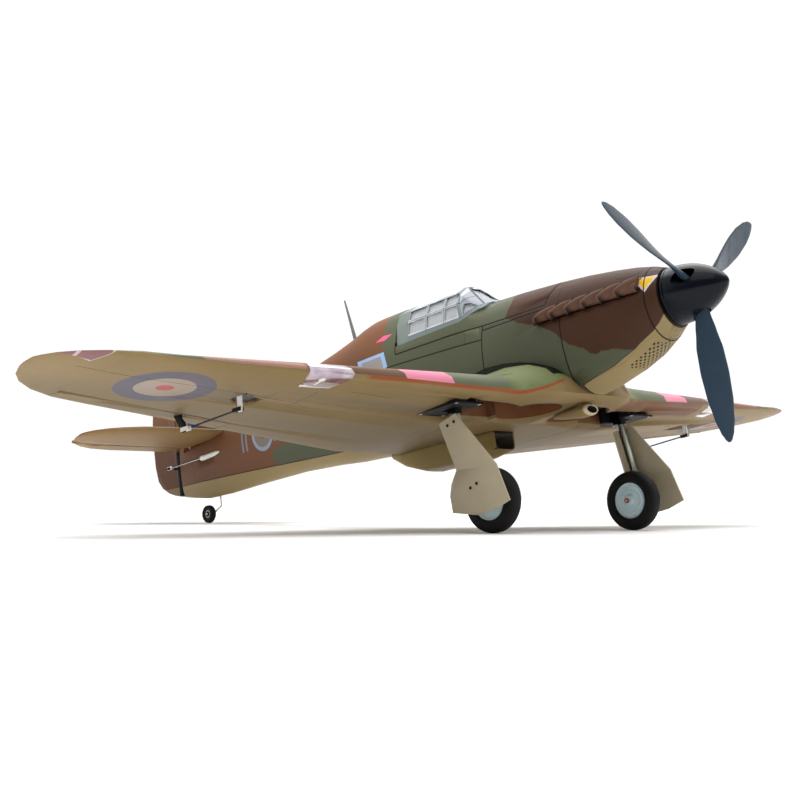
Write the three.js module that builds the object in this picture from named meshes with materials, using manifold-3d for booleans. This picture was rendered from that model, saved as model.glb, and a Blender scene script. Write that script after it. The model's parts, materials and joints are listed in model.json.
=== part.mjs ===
// Radio-controlled warbird aeroplane, 1216 mm span, standing on its wheels.
// Units are millimetres. Airframe axes: +X forward, +Y port (left), +Z up,
// with the origin at the spinner's tip on the thrust line. The airframe group
// is then pitched nose-up into its three-point stance, and the whole aeroplane
// is set with the centre of its bounding box over the origin and its wheels at Z = 0.
import * as THREE from 'three';
import { mergeVertices } from 'three/addons/utils/BufferGeometryUtils.js';
import Module from 'manifold-3d';

const wasm = await Module();
wasm.setup();

// ---------------------------------------------------------------- driving dimensions
const GAP = 0.35;                       // space between pieces that touch
const HALF_SPAN = 608;

const SPINNER_LENGTH = 60;
const SPINNER_RADIUS = 30.8;
const PROP_RADIUS = 161;
const PROP_PITCH = 280;                 // advance in one turn
const PROP_X = -38;                     // plane of the blades
const BLADE_ANGLES = [63.5, 183.5, 303.5];    // degrees about +X, from straight up

const RING_FRONT_X = -66;
const RING_REAR_X = -79;
const FIREWALL_X = -118;
const HATCH_FRONT_X = -200;
const HATCH_REAR_X = -430;
const SILL_Z = 40;                      // foot of the canopy

const DIHEDRAL = 3.56;                  // degrees, outboard of the centre section
const BREAK_Y = 135;                    // where the dihedral starts
const FILLET_Y = 52;                    // side of the fuselage at the wing root
const ROOT_Y = 40;                      // a section of the constant root
const TIP_Y = 492;                      // where the tip starts to round off
const TIP_X = -332;                     // fore-and-aft place of the very tip

const AILERON_OUT = { x: -401, y: 535 };
const AILERON_IN = { x: -414, y: 321 };
const AILERON_HORN_Y = 387;

const TAIL_Z = 20;
const ELEVATOR_HINGE_X = -898;
const RUDDER_HINGE_X = -926;
const POST_X = -920.5;                  // rear face of the fin and the sternpost

const GEAR_PIVOT = { x: -263, y: 146, z: -78 };
const WHEEL = { x: -246.4, y: 124, z: -181.4, radius: 34.3, width: 20 };
const TAIL_PIVOT_X = -843;
const TAIL_WHEEL = { x: -872.5, z: -83, radius: 12.5, width: 8 };

const STRUT_Y = 145.5;
const DOOR_Y = 153.6;
const DOOR_THICKNESS = 1.6;

const JOINER = { x: -313, z: -66, radius: 6, halfLength: 170 };

// A control linkage: horn radius, distance to the servo shaft, height of the shaft
const AILERON_LINK = { radius: 20, distance: 84, rise: 2 };
const ELEVATOR_LINK = { radius: 18, distance: 502, rise: 0 };
const RUDDER_LINK = { radius: 20, distance: 524, rise: 0 };
const ELEVATOR_HORN_Y = 18;
const RUDDER_HORN_Z = -8;

// Stations of the fuselage: x, top, bottom, half width, height of the widest point,
// and how square the section is above and below that point (2 is an ellipse)
const FUSELAGE = [
  [-66, 32, -32.5, 32, 0, 2, 2],
  [-80, 37.5, -44, 37, -4, 2, 2],
  [-100, 42.5, -56, 41.5, -9, 2.1, 2],
  [-125, 47, -65.5, 44.5, -13, 2.1, 2],
  [-160, 52, -74.5, 47.5, -16, 2.1, 2.05],
  [-200, 56, -81, 49.5, -18, 2.1, 2.15],
  [-250, 59.5, -82, 50.5, -18, 2.1, 2.35],
  [-298, 61.5, -83, 51, -18, 2.15, 2.35],
  [-314, 75, -83, 51, -18, 2.3, 2.35],
  [-331, 88, -83, 51, -18, 2.45, 2.35],
  [-345, 90.5, -83, 51, -18, 2.5, 2.35],
  [-430, 90.5, -83, 50, -15, 2.5, 2.35],
  [-470, 90.5, -82, 48, -12, 2.5, 2.35],
  [-487, 90, -80, 47.2, -12, 2.45, 2.35],
  [-503, 87, -78, 46.5, -11, 2.4, 2.35],
  [-526, 80.5, -76, 45, -10, 2.35, 2.35],
  [-560, 73.5, -74, 42.5, -9, 2.25, 2.35],
  [-600, 66.5, -69.5, 40, -8, 2.2, 2.35],
  [-667, 56.5, -64.5, 35.5, -7, 2.1, 2.35],
  [-750, 43.5, -63.5, 28.5, -7, 2.1, 2.35],
  [-820, 32, -64, 21.5, -8, 2.1, 2.35],
  [-866, 26, -62, 16, -10, 2.1, 2.35],
  [-900, 25.2, -55, 10, -12, 2.1, 2.35],
  [POST_X, 25.2, -50, 5, -14, 2.1, 2.35],
];

// ---------------------------------------------------------------- materials
const paint = (color, roughness = 0.6, metalness = 0) =>
  new THREE.MeshStandardMaterial({ color, roughness, metalness });

const camouflage = () => paint(0x5f5a3c, 0.62);
const brownPaint = () => paint(0x6b4634, 0.6);
const sandPaint = () => paint(0xb3a17c, 0.62);
const darkGloss = () => paint(0x2b333d, 0.35);
const blackPlastic = () => paint(0x18181a, 0.55);
const whitePlastic = () => paint(0xe6e6e2, 0.5);
const greyMetal = () => paint(0x9a9c9e, 0.35, 0.9);
const rubberBlack = () => paint(0x141414, 0.85);
const hubGrey = () => paint(0x7f9299, 0.45);

// ---------------------------------------------------------------- solids
const vec = (x, y, z) => new THREE.Vector3(x, y, z);

function signedVolume(positions, index) {
  const [a, b, c] = [vec(), vec(), vec()];
  let volume = 0;
  for (let i = 0; i < index.length; i += 3) {
    a.fromArray(positions, index[i] * 3);
    b.fromArray(positions, index[i + 1] * 3);
    c.fromArray(positions, index[i + 2] * 3);
    volume += a.dot(b.cross(c));
  }
  return volume;
}

// A three.js geometry as a manifold solid, its faces turned outwards
function solid(geometry) {
  const bare = geometry.clone();
  for (const name of Object.keys(bare.attributes)) {
    if (name !== 'position') bare.deleteAttribute(name);
  }
  const merged = mergeVertices(bare, 1e-4);
  const positions = new Float32Array(merged.attributes.position.array);
  const index = Array.from(merged.index.array);
  if (signedVolume(positions, index) < 0) index.reverse();
  const kept = [];
  for (let i = 0; i < index.length; i += 3) {
    const [a, b, c] = index.slice(i, i + 3);
    if (a !== b && b !== c && c !== a) kept.push(a, b, c);
  }
  const mesh = new wasm.Mesh({
    numProp: 3,
    vertProperties: positions,
    triVerts: new Uint32Array(kept),
  });
  return new wasm.Manifold(mesh);
}

function geometryOf(body) {
  const mesh = body.getMesh();
  const geometry = new THREE.BufferGeometry();
  geometry.setAttribute('position', new THREE.BufferAttribute(mesh.vertProperties, 3));
  geometry.setIndex(new THREE.BufferAttribute(mesh.triVerts, 1));
  return geometry;
}

const join = (...bodies) => bodies.reduce((sum, body) => sum.add(body));
const cut = (body, ...tools) => tools.reduce((left, tool) => left.subtract(tool), body);

// The same solid under a matrix, such as a placement or a mirror
function moved(body, matrix) {
  return solid(geometryOf(body).applyMatrix4(matrix));
}

const mirrored = (body) => moved(body, new THREE.Matrix4().makeScale(1, -1, 1));

function box(x0, x1, y0, y1, z0, z1) {
  const geometry = new THREE.BoxGeometry(Math.abs(x1 - x0), y1 - y0, z1 - z0);
  return solid(geometry.translate((x0 + x1) / 2, (y0 + y1) / 2, (z0 + z1) / 2));
}

// A rod, or a cone, from one point to another
function rod(from, to, radius, endRadius = radius, sides = 14) {
  const axis = to.clone().sub(from);
  const geometry = new THREE.CylinderGeometry(endRadius, radius, axis.length(), sides);
  const turn = new THREE.Quaternion().setFromUnitVectors(vec(0, 1, 0), axis.normalize());
  geometry.applyQuaternion(turn);
  const middle = from.clone().add(to).multiplyScalar(0.5);
  return solid(geometry.translate(middle.x, middle.y, middle.z));
}

function ball(centre, radius, scale = vec(1, 1, 1), sides = 12) {
  const geometry = new THREE.SphereGeometry(radius, sides, sides / 2);
  geometry.scale(scale.x, scale.y, scale.z);
  return solid(geometry.translate(centre.x, centre.y, centre.z));
}

const shapeOf = (points) => new THREE.Shape(points.map(([u, v]) => new THREE.Vector2(u, v)));

function extrusion(points, depth) {
  return new THREE.ExtrudeGeometry(shapeOf(points), { depth, bevelEnabled: false, steps: 1 });
}

// An outline in the side view (x, z) between two planes of y
function sidePrism(points, y0, y1) {
  const geometry = extrusion(points, y1 - y0).rotateX(Math.PI / 2);
  return solid(geometry.translate(0, y1, 0));
}

// An outline in the plan view (x, y) between two heights
function planPrism(points, z0, z1) {
  return solid(extrusion(points, z1 - z0).translate(0, 0, z0));
}

// A profile of (distance along X, radius) turned about the X axis through a point
function turned(profile, centre = vec(0, 0, 0), sides = 28) {
  const points = profile.map(([x, r]) => new THREE.Vector2(r, x));
  const geometry = new THREE.LatheGeometry(points, sides).rotateZ(-Math.PI / 2);
  return solid(geometry.translate(centre.x, centre.y, centre.z));
}

// A skin through rings of points that each start and end on the ring's own mirror line
function loft(rings) {
  const n = rings[0].length;
  const positions = rings.flat().flatMap((point) => [point.x, point.y, point.z]);
  const index = [];
  for (let r = 0; r + 1 < rings.length; r += 1) {
    for (let i = 0; i < n; i += 1) {
      const [a, b] = [r * n + i, r * n + ((i + 1) % n)];
      index.push(a, b, b + n, a, b + n, a + n);
    }
  }
  const last = (rings.length - 1) * n;
  for (let i = 0; i < n / 2; i += 1) {
    const [a, b, c, d] = [i, i + 1, n - i - 1, (n - i) % n];
    if (a !== d) index.push(d, b, a, last + a, last + b, last + d);
    if (b !== c) index.push(d, c, b, last + b, last + c, last + d);
  }
  const geometry = new THREE.BufferGeometry();
  geometry.setAttribute('position', new THREE.Float32BufferAttribute(positions, 3));
  geometry.setIndex(index);
  return solid(geometry);
}

// ---------------------------------------------------------------- fuselage form
const FUSELAGE_SIDES = 32;

// One section of the fuselage, swelled outwards by grow
function fuselageRing([x, top, bottom, halfWidth, waist, squareAbove, squareBelow], grow) {
  const ring = [];
  for (let i = 0; i < FUSELAGE_SIDES; i += 1) {
    const angle = (i / FUSELAGE_SIDES) * 2 * Math.PI;
    const [side, up] = [Math.sin(angle), Math.cos(angle)];
    const height = up > 0 ? top + grow - waist : waist - bottom + grow;
    const power = 2 / (up > 0 ? squareAbove : squareBelow);
    const y = -Math.sign(side) * Math.abs(side) ** power * (halfWidth + grow);
    const z = waist + Math.sign(up) * Math.abs(up) ** power * height;
    ring.push(vec(x, y, z));
  }
  return ring;
}

const fuselageForm = (grow) => loft(FUSELAGE.map((row) => fuselageRing(row, grow)));

const HATCH_SEAM = [
  [HATCH_REAR_X, 29],
  [-300, 27.5],
  [HATCH_FRONT_X - 4, 26],
  [HATCH_FRONT_X + 7, 62],
];
const SILL_LINE = [
  [HATCH_REAR_X, SILL_Z - 1],
  [-326, SILL_Z + 1],
  [-294, 55],
  [-299.5, 66],
];
const COWL_EDGE = [
  [RING_REAR_X, -36],
  [-125, -57],
  [-160, -64],
  [-187, -69],
];

// Side-view regions, from an edge line up or down to well past the aeroplane
const above = (line, z = 130) => [...line, [line[line.length - 1][0], z], [line[0][0], z]];
const below = (line, z = -130) => [...line, [line[line.length - 1][0], z], [line[0][0], z]];
const shifted = (line, dx, dz) => line.map(([x, z]) => [x + dx, z + dz]);

// ---------------------------------------------------------------- wing form
const WING_SIDES = 24;
const chordShare = (i) => (1 + Math.cos((2 * Math.PI * i) / WING_SIDES)) / 2;

// Half thickness of a four-digit section at a share of the chord, as a share of its largest
function sectionShare(s) {
  const root = 0.2969 * Math.sqrt(s);
  return 10 * (root - 0.126 * s - 0.3516 * s ** 2 + 0.2843 * s ** 3 - 0.1036 * s ** 4);
}

// Leading and trailing edge, depth above and below the chord line, at a distance from the middle
function wingStation(y) {
  const reach = Math.max(0, (y - TIP_Y) / (HALF_SPAN - TIP_Y));
  const share = Math.max(0.1, Math.sqrt(Math.max(0, 1 - reach ** 2)));
  const fillet = 1 - THREE.MathUtils.smoothstep(y, FILLET_Y, 96);
  const along = Math.max(0, y - BREAK_Y) / (TIP_Y - BREAK_Y);
  const rise = Math.max(0, y - BREAK_Y) * Math.tan(THREE.MathUtils.degToRad(DIHEDRAL));
  const flare = Math.min(y, TIP_Y);
  const lead = TIP_X + (-190 - 0.156 * flare - TIP_X) * share;
  const trail = TIP_X + (-477 + 0.098 * flare - TIP_X) * share;
  return {
    lead: THREE.MathUtils.lerp(lead, -182, fillet),
    trail: THREE.MathUtils.lerp(trail, -472, fillet),
    leadZ: THREE.MathUtils.lerp(-71 + rise, -77, fillet),
    trailZ: THREE.MathUtils.lerp(-83 + rise + 8 * along, -83, fillet),
    upper: THREE.MathUtils.lerp(30 - 22 * along, 48, fillet) * share,
    lower: THREE.MathUtils.lerp(10.5 - 5 * along, 7, fillet) * share,
  };
}

function wingRing(y, grow = 0) {
  const at = wingStation(Math.abs(y));
  const ring = [];
  for (let i = 0; i < WING_SIDES; i += 1) {
    const s = chordShare(i);
    const isUpper = i < WING_SIDES / 2;
    const isEdge = i === 0 || i === WING_SIDES / 2;
    const depth = (isUpper ? at.upper : -at.lower) * sectionShare(s) + (isUpper ? 0.5 : -0.5) * s;
    const x = THREE.MathUtils.lerp(at.lead + grow, at.trail - grow, s);
    const line = THREE.MathUtils.lerp(at.leadZ, at.trailZ, s);
    const swell = isUpper ? grow : -grow;
    const z = line + (isEdge ? 0 : depth + swell);
    ring.push(vec(x, y, z));
  }
  return ring;
}

// Everything below the wing's upper skin at the root, or above its lower skin
function rootBlock(isUpper, grow, z, halfWidth) {
  const ring = wingRing(ROOT_Y, grow);
  const middle = WING_SIDES / 2;
  const skin = isUpper ? ring.slice(1, middle) : ring.slice(middle + 1).reverse();
  const nose = [ring[middle].x, ring[middle].z];
  const line = [nose, ...skin.map((p) => [p.x, p.z]).sort((a, b) => b[0] - a[0])];
  const tailX = ring[0].x;
  const tailZ = line[line.length - 1][1];
  return sidePrism([...line, [tailX, tailZ], [tailX, z], [nose[0], z]], -halfWidth, halfWidth);
}

const WING_STATIONS = [
  GAP / 2, FILLET_Y, 62, 74, 86, 97, BREAK_Y, TIP_Y, 530, 560, 582, 597, 605, HALF_SPAN,
];
const wingForm = (grow = 0) => loft(WING_STATIONS.map((y) => wingRing(y, grow)));

// Height of the middle of the wing's thickness at a point of its plan
function wingMiddle(x, y) {
  const at = wingStation(y);
  const s = (at.lead - x) / (at.lead - at.trail);
  const line = THREE.MathUtils.lerp(at.leadZ, at.trailZ, s);
  return line + ((at.upper - at.lower) / 2) * sectionShare(s);
}

// ---------------------------------------------------------------- control linkage
// Local axes: the hinge line is Z through the origin, X runs to the servo and the
// horn points along -Y. Horn, servo arm and pushrod form a parallelogram.
const LINK_PLATE = 2;
const LINK_HOLE = 1.3;
const LINK_PIN = 0.8;

// The foot runs from footRear to footFront along X, at footY
function hornPlate(link, footRear, footFront, footY) {
  const tip = -link.radius - 3;
  const outline = [
    [footRear, footY],
    [-2.6, tip + 1],
    [-1.4, tip],
    [1.6, tip],
    [2.8, tip + 1.6],
    [2.6, tip * 0.56],
    [footFront, tip * 0.33],
    [footFront, footY],
  ];
  const half = LINK_PLATE / 2;
  const hole = rod(vec(0, -link.radius, -3), vec(0, -link.radius, 3), LINK_HOLE, LINK_HOLE, 10);
  return cut(planPrism(outline, -half, half), hole);
}

function servoArm(link) {
  const [x, y] = [link.distance, link.rise];
  const half = LINK_PLATE / 2;
  const tip = y - link.radius;
  const plate = planPrism(
    [[x - 3.6, y + 3], [x - 2.4, tip - 2.6], [x + 2.4, tip - 2.6], [x + 3.6, y + 3], [x, y + 4.4]],
    -half, half,
  );
  const hole = rod(vec(x, tip, -3), vec(x, tip, 3), LINK_HOLE, LINK_HOLE, 10);
  return cut(plate, hole);
}

function pushrod(link) {
  const near = vec(0, -link.radius, 0);
  const far = vec(link.distance, link.rise - link.radius, 0);
  const along = far.clone().sub(near).normalize();
  const [inner, outer] = [LINK_PLATE / 2 + 0.4, LINK_PLATE / 2 + 1.4];
  const ends = [[near, 1], [far, -1]].map(([pin, way]) => {
    const [a, b] = [way > 0 ? -2.6 : -9, way > 0 ? 9 : 2.6];
    const [wallA, wallB] = way > 0 ? [5.4, 9] : [-9, -5.4];
    const [x, y] = [pin.x, pin.y];
    return join(
      box(x + a, x + b, y - 2, y + 2, inner, outer),
      box(x + a, x + b, y - 2, y + 2, -outer, -inner),
      box(x + wallA, x + wallB, y - 2, y + 2, -inner - 0.2, inner + 0.2),
      rod(vec(x, y, -outer), vec(x, y, outer), LINK_PIN, LINK_PIN, 8),
    );
  });
  const from = near.clone().addScaledVector(along, 7);
  const to = far.clone().addScaledVector(along, -7);
  return join(...ends, rod(from, to, 0.9, 0.9, 8));
}

// A small servo lying beside the arm's plane, on the side given by way
function servo(link, way) {
  const [x, y] = [link.distance, link.rise];
  const at = (a, b) => (way > 0 ? [a, b] : [-b, -a]);
  const [bodyA, bodyB] = at(3.2, 25);
  const [earA, earB] = at(8, 10);
  const [shaftA, shaftB] = at(1.35, 4);
  const body = box(x - 17, x + 6, y - 6, y + 6, bodyA, bodyB);
  const ears = box(x - 21.5, x + 10.5, y - 5.6, y + 5.6, earA, earB);
  return join(body, ears, rod(vec(x, y, shaftA), vec(x, y, shaftB), 2.6));
}

// ---------------------------------------------------------------- frames of the linkages
function frameFrom(origin, xAxis, yAxis) {
  const zAxis = xAxis.clone().cross(yAxis);
  return new THREE.Matrix4().makeBasis(xAxis, yAxis, zAxis).setPosition(origin);
}

function aileronFrame() {
  const out = vec(AILERON_OUT.x, AILERON_OUT.y, wingMiddle(AILERON_OUT.x, AILERON_OUT.y));
  const inner = vec(AILERON_IN.x, AILERON_IN.y, wingMiddle(AILERON_IN.x, AILERON_IN.y));
  const inboard = inner.clone().sub(out).normalize();
  const share = (out.y - AILERON_HORN_Y) / (out.y - inner.y);
  const origin = out.clone().lerp(inner, share);
  const forward = vec(0, 0, 1).cross(inboard).normalize();
  const up = inboard.clone().cross(forward);
  return {
    matrix: frameFrom(origin, forward, up),
    outer: -out.distanceTo(origin),
    inner: inner.distanceTo(origin),
  };
}

const AILERON = aileronFrame();
const ELEVATOR_FRAME = frameFrom(
  vec(ELEVATOR_HINGE_X, ELEVATOR_HORN_Y, TAIL_Z), vec(1, 0, 0), vec(0, 0, 1),
);
const RUDDER_FRAME = frameFrom(
  vec(RUDDER_HINGE_X, 0, RUDDER_HORN_Z), vec(1, 0, 0), vec(0, 1, 0),
);

// ---------------------------------------------------------------- landing gear
// Outline of the leg's door in the side view
const DOOR_OUTLINE = [
  [-279, -94], [-254, -88], [-209, -151], [-198, -190], [-220, -196], [-243, -197.5],
  [-276.5, -189.5], [-277, -172], [-273, -160], [-268, -153], [-263.5, -147],
];

function gearLeg() {
  const { x, z } = GEAR_PIVOT;
  const foot = vec(WHEEL.x, STRUT_Y, WHEEL.z);
  const top = vec(x, STRUT_Y, z);
  return join(
    box(x - 5.5, x + 5.5, STRUT_Y - 5, STRUT_Y + 5, z - 8, z + 5),
    rod(vec(x - 17, GEAR_PIVOT.y, z), vec(x + 17, GEAR_PIVOT.y, z), 2.4),
    rod(top, foot, 4.2, 3.8),
    ball(foot, 5.4),
    rod(foot, vec(foot.x, WHEEL.y - 14.5, foot.z), 2, 2, 12),
  );
}

// The flat door and, behind the strut, the half-round trough that it is clipped to
function gearDoor() {
  const plate = sidePrism(DOOR_OUTLINE, DOOR_Y, DOOR_Y + DOOR_THICKNESS);
  const webEnd = DOOR_Y - STRUT_Y + 0.6;
  const [top, bottom] = [-16, -76];
  const behind = -4.5;
  const trough = cut(
    join(
      rod(vec(behind, 0, bottom), vec(behind, 0, top), 8.8, 8.8, 20),
      box(behind - 3, 0, 3, webEnd, bottom, top),
    ),
    rod(vec(behind, 0, bottom - 9), vec(behind, 0, 9), 7.2, 7.2, 20),
    rod(vec(0, 0, bottom - 9), vec(0, 0, 9), 5.1, 5.1, 16),
    box(-2, 20, -20, 20, bottom - 9, 9),
  );
  return join(plate, moved(trough, strutFrame()));
}

// Axes along the strut: Z up the leg, X forward, Y to port
function strutFrame() {
  const up = vec(GEAR_PIVOT.x - WHEEL.x, 0, GEAR_PIVOT.z - WHEEL.z).normalize();
  const side = vec(0, 1, 0);
  return new THREE.Matrix4()
    .makeBasis(side.clone().cross(up), side, up)
    .setPosition(vec(GEAR_PIVOT.x, STRUT_Y, GEAR_PIVOT.z));
}

// Rings of a tyre and of its hub, about the axle
function tyre(radius, inner, width) {
  const [half, shoulder] = [width / 2, width * 0.28];
  return [
    [-half * 0.72, inner], [-half, inner + 3], [-half, radius - 6], [-shoulder, radius - 0.8],
    [0, radius], [shoulder, radius - 0.8], [half, radius - 6], [half, inner + 3],
    [half * 0.72, inner], [-half * 0.72, inner],
  ];
}

function hub(radius, bore, width) {
  const half = width / 2;
  return [
    [-half * 0.68, radius], [-half * 0.5, radius - 3], [-half * 0.62, 6], [-half, 5.2],
    [-half, bore], [half * 0.8, bore], [half * 0.8, 5.2], [half * 0.5, 7],
    [half * 0.4, radius - 3], [half * 0.68, radius], [-half * 0.68, radius],
  ];
}

// A profile turned about a cross-wise axle
const turnedAcross = (profile, sides) =>
  moved(turned(profile, vec(0, 0, 0), sides), new THREE.Matrix4().makeRotationZ(Math.PI / 2));

// Box that holds a drive unit for one leg, slotted for the leg to fold inboard
function retractUnit() {
  const { x, y, z } = GEAR_PIVOT;
  const unit = join(
    box(x - 24, x + 24, y - 15, y + 24, z - 4, z + 17.5),
    box(x - 29, x + 29, y - 15, y + 28, z - 4, z - 1.6),
  );
  return cut(
    unit,
    box(x - 10.5, x + 10.5, y - 24, y + 9, z - 20, z + 11.5),
    rod(vec(x - 19, y, z), vec(x + 19, y, z), 2.9),
  );
}

const pocketFor = (unit) => {
  const { x, y, z } = unit;
  return join(
    box(x - 24.4, x + 24.4, y - 15.4, y + 24.4, z - 40, z + 18),
    box(x - 29.4, x + 29.4, y - 15.4, y + 28.4, z - 40, z - 1.2),
  );
};

// Room in the wing for one folded wheel, its leg and the door
function wheelBay() {
  const { x, y, z } = GEAR_PIVOT;
  const shut = DOOR_OUTLINE.map(([u, v]) => [u, y - (z - v)]);
  const wheelY = y - (z - WHEEL.z);
  const middle = vec(-250, 80);
  const recess = shut.map(([u, v]) => [
    u + Math.sign(u - middle.x) * 3, v + Math.sign(v - middle.y) * 3,
  ]);
  return join(
    rod(vec(WHEEL.x, wheelY, -150), vec(WHEEL.x, wheelY, -44.5), 37.6, 37.6, 32),
    rod(vec(WHEEL.x, wheelY, -50), vec(WHEEL.x, wheelY, -38.5), 9, 9, 16),
    box(x - 17, -230, wheelY + 30, y + 9, -150, -65),
    planPrism(recess, -150, -83.6),
  );
}

// ---------------------------------------------------------------- wing pieces
// Slab of space behind a hinge line, in the linkage's axes
function surfaceSlab(outer, inner, gap) {
  return box(-60, 0, -40, 40, outer - gap, inner + gap);
}

function hingeRoll(radius, outer, inner) {
  return rod(vec(0, 0, outer), vec(0, 0, inner), radius, radius, 16);
}

const LENS = { y0: 306, y1: 362, depth: 30 };

function lensBlock(gap) {
  const { y0, y1, depth } = LENS;
  const [a, b] = [wingStation(y0).lead, wingStation(y1).lead];
  const outline = [[a + 9, y0 - gap], [b + 9, y1 + gap], [b - depth - gap, y1 - 12],
    [a - depth - gap, y0 + 12]];
  return planPrism(outline, -140, 40);
}

function wingHalf() {
  const [bodyMin, bodyMax] = [2.9, 25.6];
  const { distance, rise } = AILERON_LINK;
  const servoPocket = join(
    box(distance - 17.6, distance + 6.6, -40, rise + 6.6, bodyMin, bodyMax),
    box(distance - 22, distance + 11, -40, rise + 6.2, 7.4, 10.6),
    box(distance - 14, distance + 13, -40, rise + 6, -2.2, 4),
  );
  return cut(
    wingForm(),
    wheelBay(),
    pocketFor(GEAR_PIVOT),
    moved(join(
      surfaceSlab(AILERON.outer, AILERON.inner, 0.9),
      hingeRoll(4.8, AILERON.outer - 0.9, AILERON.inner + 0.9),
      servoPocket,
    ), AILERON.matrix),
    rod(vec(JOINER.x, -5, JOINER.z), vec(JOINER.x, JOINER.halfLength + 0.5, JOINER.z),
      JOINER.radius + 0.35, JOINER.radius + 0.35, 20),
    lensBlock(0.3),
  );
}

// A thin cover over the light, open at the back
function landingLens() {
  const { y0, y1, depth } = LENS;
  const { lead, leadZ } = wingStation((y0 + y1) / 2);
  const inner = loft(WING_STATIONS.map((y) => wingRing(y, -1.6)));
  return cut(
    wingForm().intersect(lensBlock(0)),
    inner.intersect(lensBlock(-1.6)),
    box(lead - depth - 20, lead - 14, y0 + 15, y1 - 15, leadZ - 3.5, leadZ + 4),
  );
}

// The aileron's front is bevelled above and below so that it can turn
function aileron() {
  const wedge = [[0, 0], [-19.5, 40], [-60, 40], [-60, -40], [-19.5, -40]];
  const slab = moved(planPrism(wedge, AILERON.outer, AILERON.inner), AILERON.matrix);
  const roll = moved(hingeRoll(3.3, AILERON.outer, AILERON.inner), AILERON.matrix);
  const half = LINK_PLATE / 2 + GAP;
  const hornSlot = moved(box(-14 - GAP, -2, -12, -2.6 + GAP, -half, half), AILERON.matrix);
  return cut(join(wingForm().intersect(slab), roll), hornSlot);
}

// ---------------------------------------------------------------- tail surfaces
function tailplaneRing(y, grow = 0) {
  const reach = Math.max(0, (Math.abs(y) - 110) / 99);
  const share = Math.max(0.12, Math.sqrt(Math.max(0, 1 - reach ** 2)));
  const [lead, trail] = [-855 + 58 * share + grow, -855 - 84 * share - grow];
  const half = 5 * Math.sqrt(share);
  const ring = [];
  for (let i = 0; i < WING_SIDES; i += 1) {
    const s = chordShare(i);
    const side = i < WING_SIDES / 2 ? 1 : -1;
    const isEdge = i === 0 || i === WING_SIDES / 2;
    const depth = isEdge ? 0 : side * (half * sectionShare(s) + 0.6 * s + grow);
    ring.push(vec(THREE.MathUtils.lerp(lead, trail, s), y, TAIL_Z + depth));
  }
  return ring;
}

const TAIL_HALF = [0, 110, 145, 170, 187, 199, 206, 209];
const tailplaneForm = (grow = 0) => loft(
  [...TAIL_HALF.slice(1).reverse().map((y) => -y), ...TAIL_HALF].map((y) => tailplaneRing(y, grow)),
);

const ELEVATOR_RADIUS = 4.4;

function tailplane() {
  const [x, z] = [ELEVATOR_HINGE_X, TAIL_Z];
  return cut(
    tailplaneForm(),
    box(x - 70, x, -240, 240, 0, 40),
    rod(vec(x, -240, z), vec(x, 240, z), ELEVATOR_RADIUS + 1.2, ELEVATOR_RADIUS + 1.2, 18),
  );
}

function elevator() {
  const [x, z] = [ELEVATOR_HINGE_X, TAIL_Z];
  const halves = [1, -1].map((side) => {
    const [a, b, c] = [13 * side, 17 * side, 196 * side];
    const plan = [[x + 6, a], [x - 12, a], [x - 18, b], [x - 70, b], [x - 70, 230 * side],
      [x + 6, 230 * side]];
    const skin = tailplaneForm().intersect(planPrism(plan, 0, 40))
      .intersect(box(x - 80, x, -240, 240, 0, 40));
    return join(skin, rod(vec(x, a, z), vec(x, c, z), 3.6, 2, 16));
  });
  const joiner = rod(vec(x, -16, z), vec(x, 16, z), 2.2, 2.2, 12);
  const horn = moved(hornPlate(ELEVATOR_LINK, -3.7, 1.4, 1), ELEVATOR_FRAME);
  return join(...halves, joiner, horn);
}

const FIN_OUTLINE = [
  [-828, 31], [-846, 48], [-866, 80], [-884, 110], [-896, 124], [-910, 131],
  [POST_X, 133], [POST_X, 25.8], [-868, 25.8],
];
const RUDDER_OUTLINE = [
  [RUDDER_HINGE_X, 133], [-936, 135], [-950, 133], [-962, 124], [-972, 104], [-980, 70],
  [-983, 35], [-983, 5], [-979, -16], [-970, -28], [-955, -38], [-940, -44],
  [RUDDER_HINGE_X, -48],
];

function fin() {
  const taper = planPrism([
    [-822, 0.9], [-850, 3], [-885, 4.4], [POST_X, 4.4],
    [POST_X, -4.4], [-885, -4.4], [-850, -3], [-822, -0.9],
  ], 0, 150);
  return cut(sidePrism(FIN_OUTLINE, -6, 6).intersect(taper), fuselageForm(GAP));
}

function rudder() {
  const x = RUDDER_HINGE_X;
  const wedge = planPrism([[x, 4.2], [x - 60, 1.1], [x - 60, -1.1], [x, -4.2]], -60, 140);
  const body = join(
    sidePrism(RUDDER_OUTLINE, -6, 6).intersect(wedge),
    rod(vec(x, 0, -47), vec(x, 0, 132), 4.2, 4.2, 16),
  );
  const clearOfElevator = box(x + 1, x + 8, -8, 8, TAIL_Z - 9, TAIL_Z + 9);
  return join(cut(body, clearOfElevator), moved(hornPlate(RUDDER_LINK, -4.5, 1.4, -2), RUDDER_FRAME));
}

// ---------------------------------------------------------------- fuselage and what it holds
const BATTERY_BAY = { front: HATCH_FRONT_X - 4, rear: -372, half: 32, floor: -16 };
// The raised pad behind the battery that a stabiliser is taped to
const PAD = { front: -335, rear: -352, half: 30, rise: 1.5 };
const SERVO_BAY = { front: -371, rear: -427, half: 33, floor: -37 };

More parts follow.
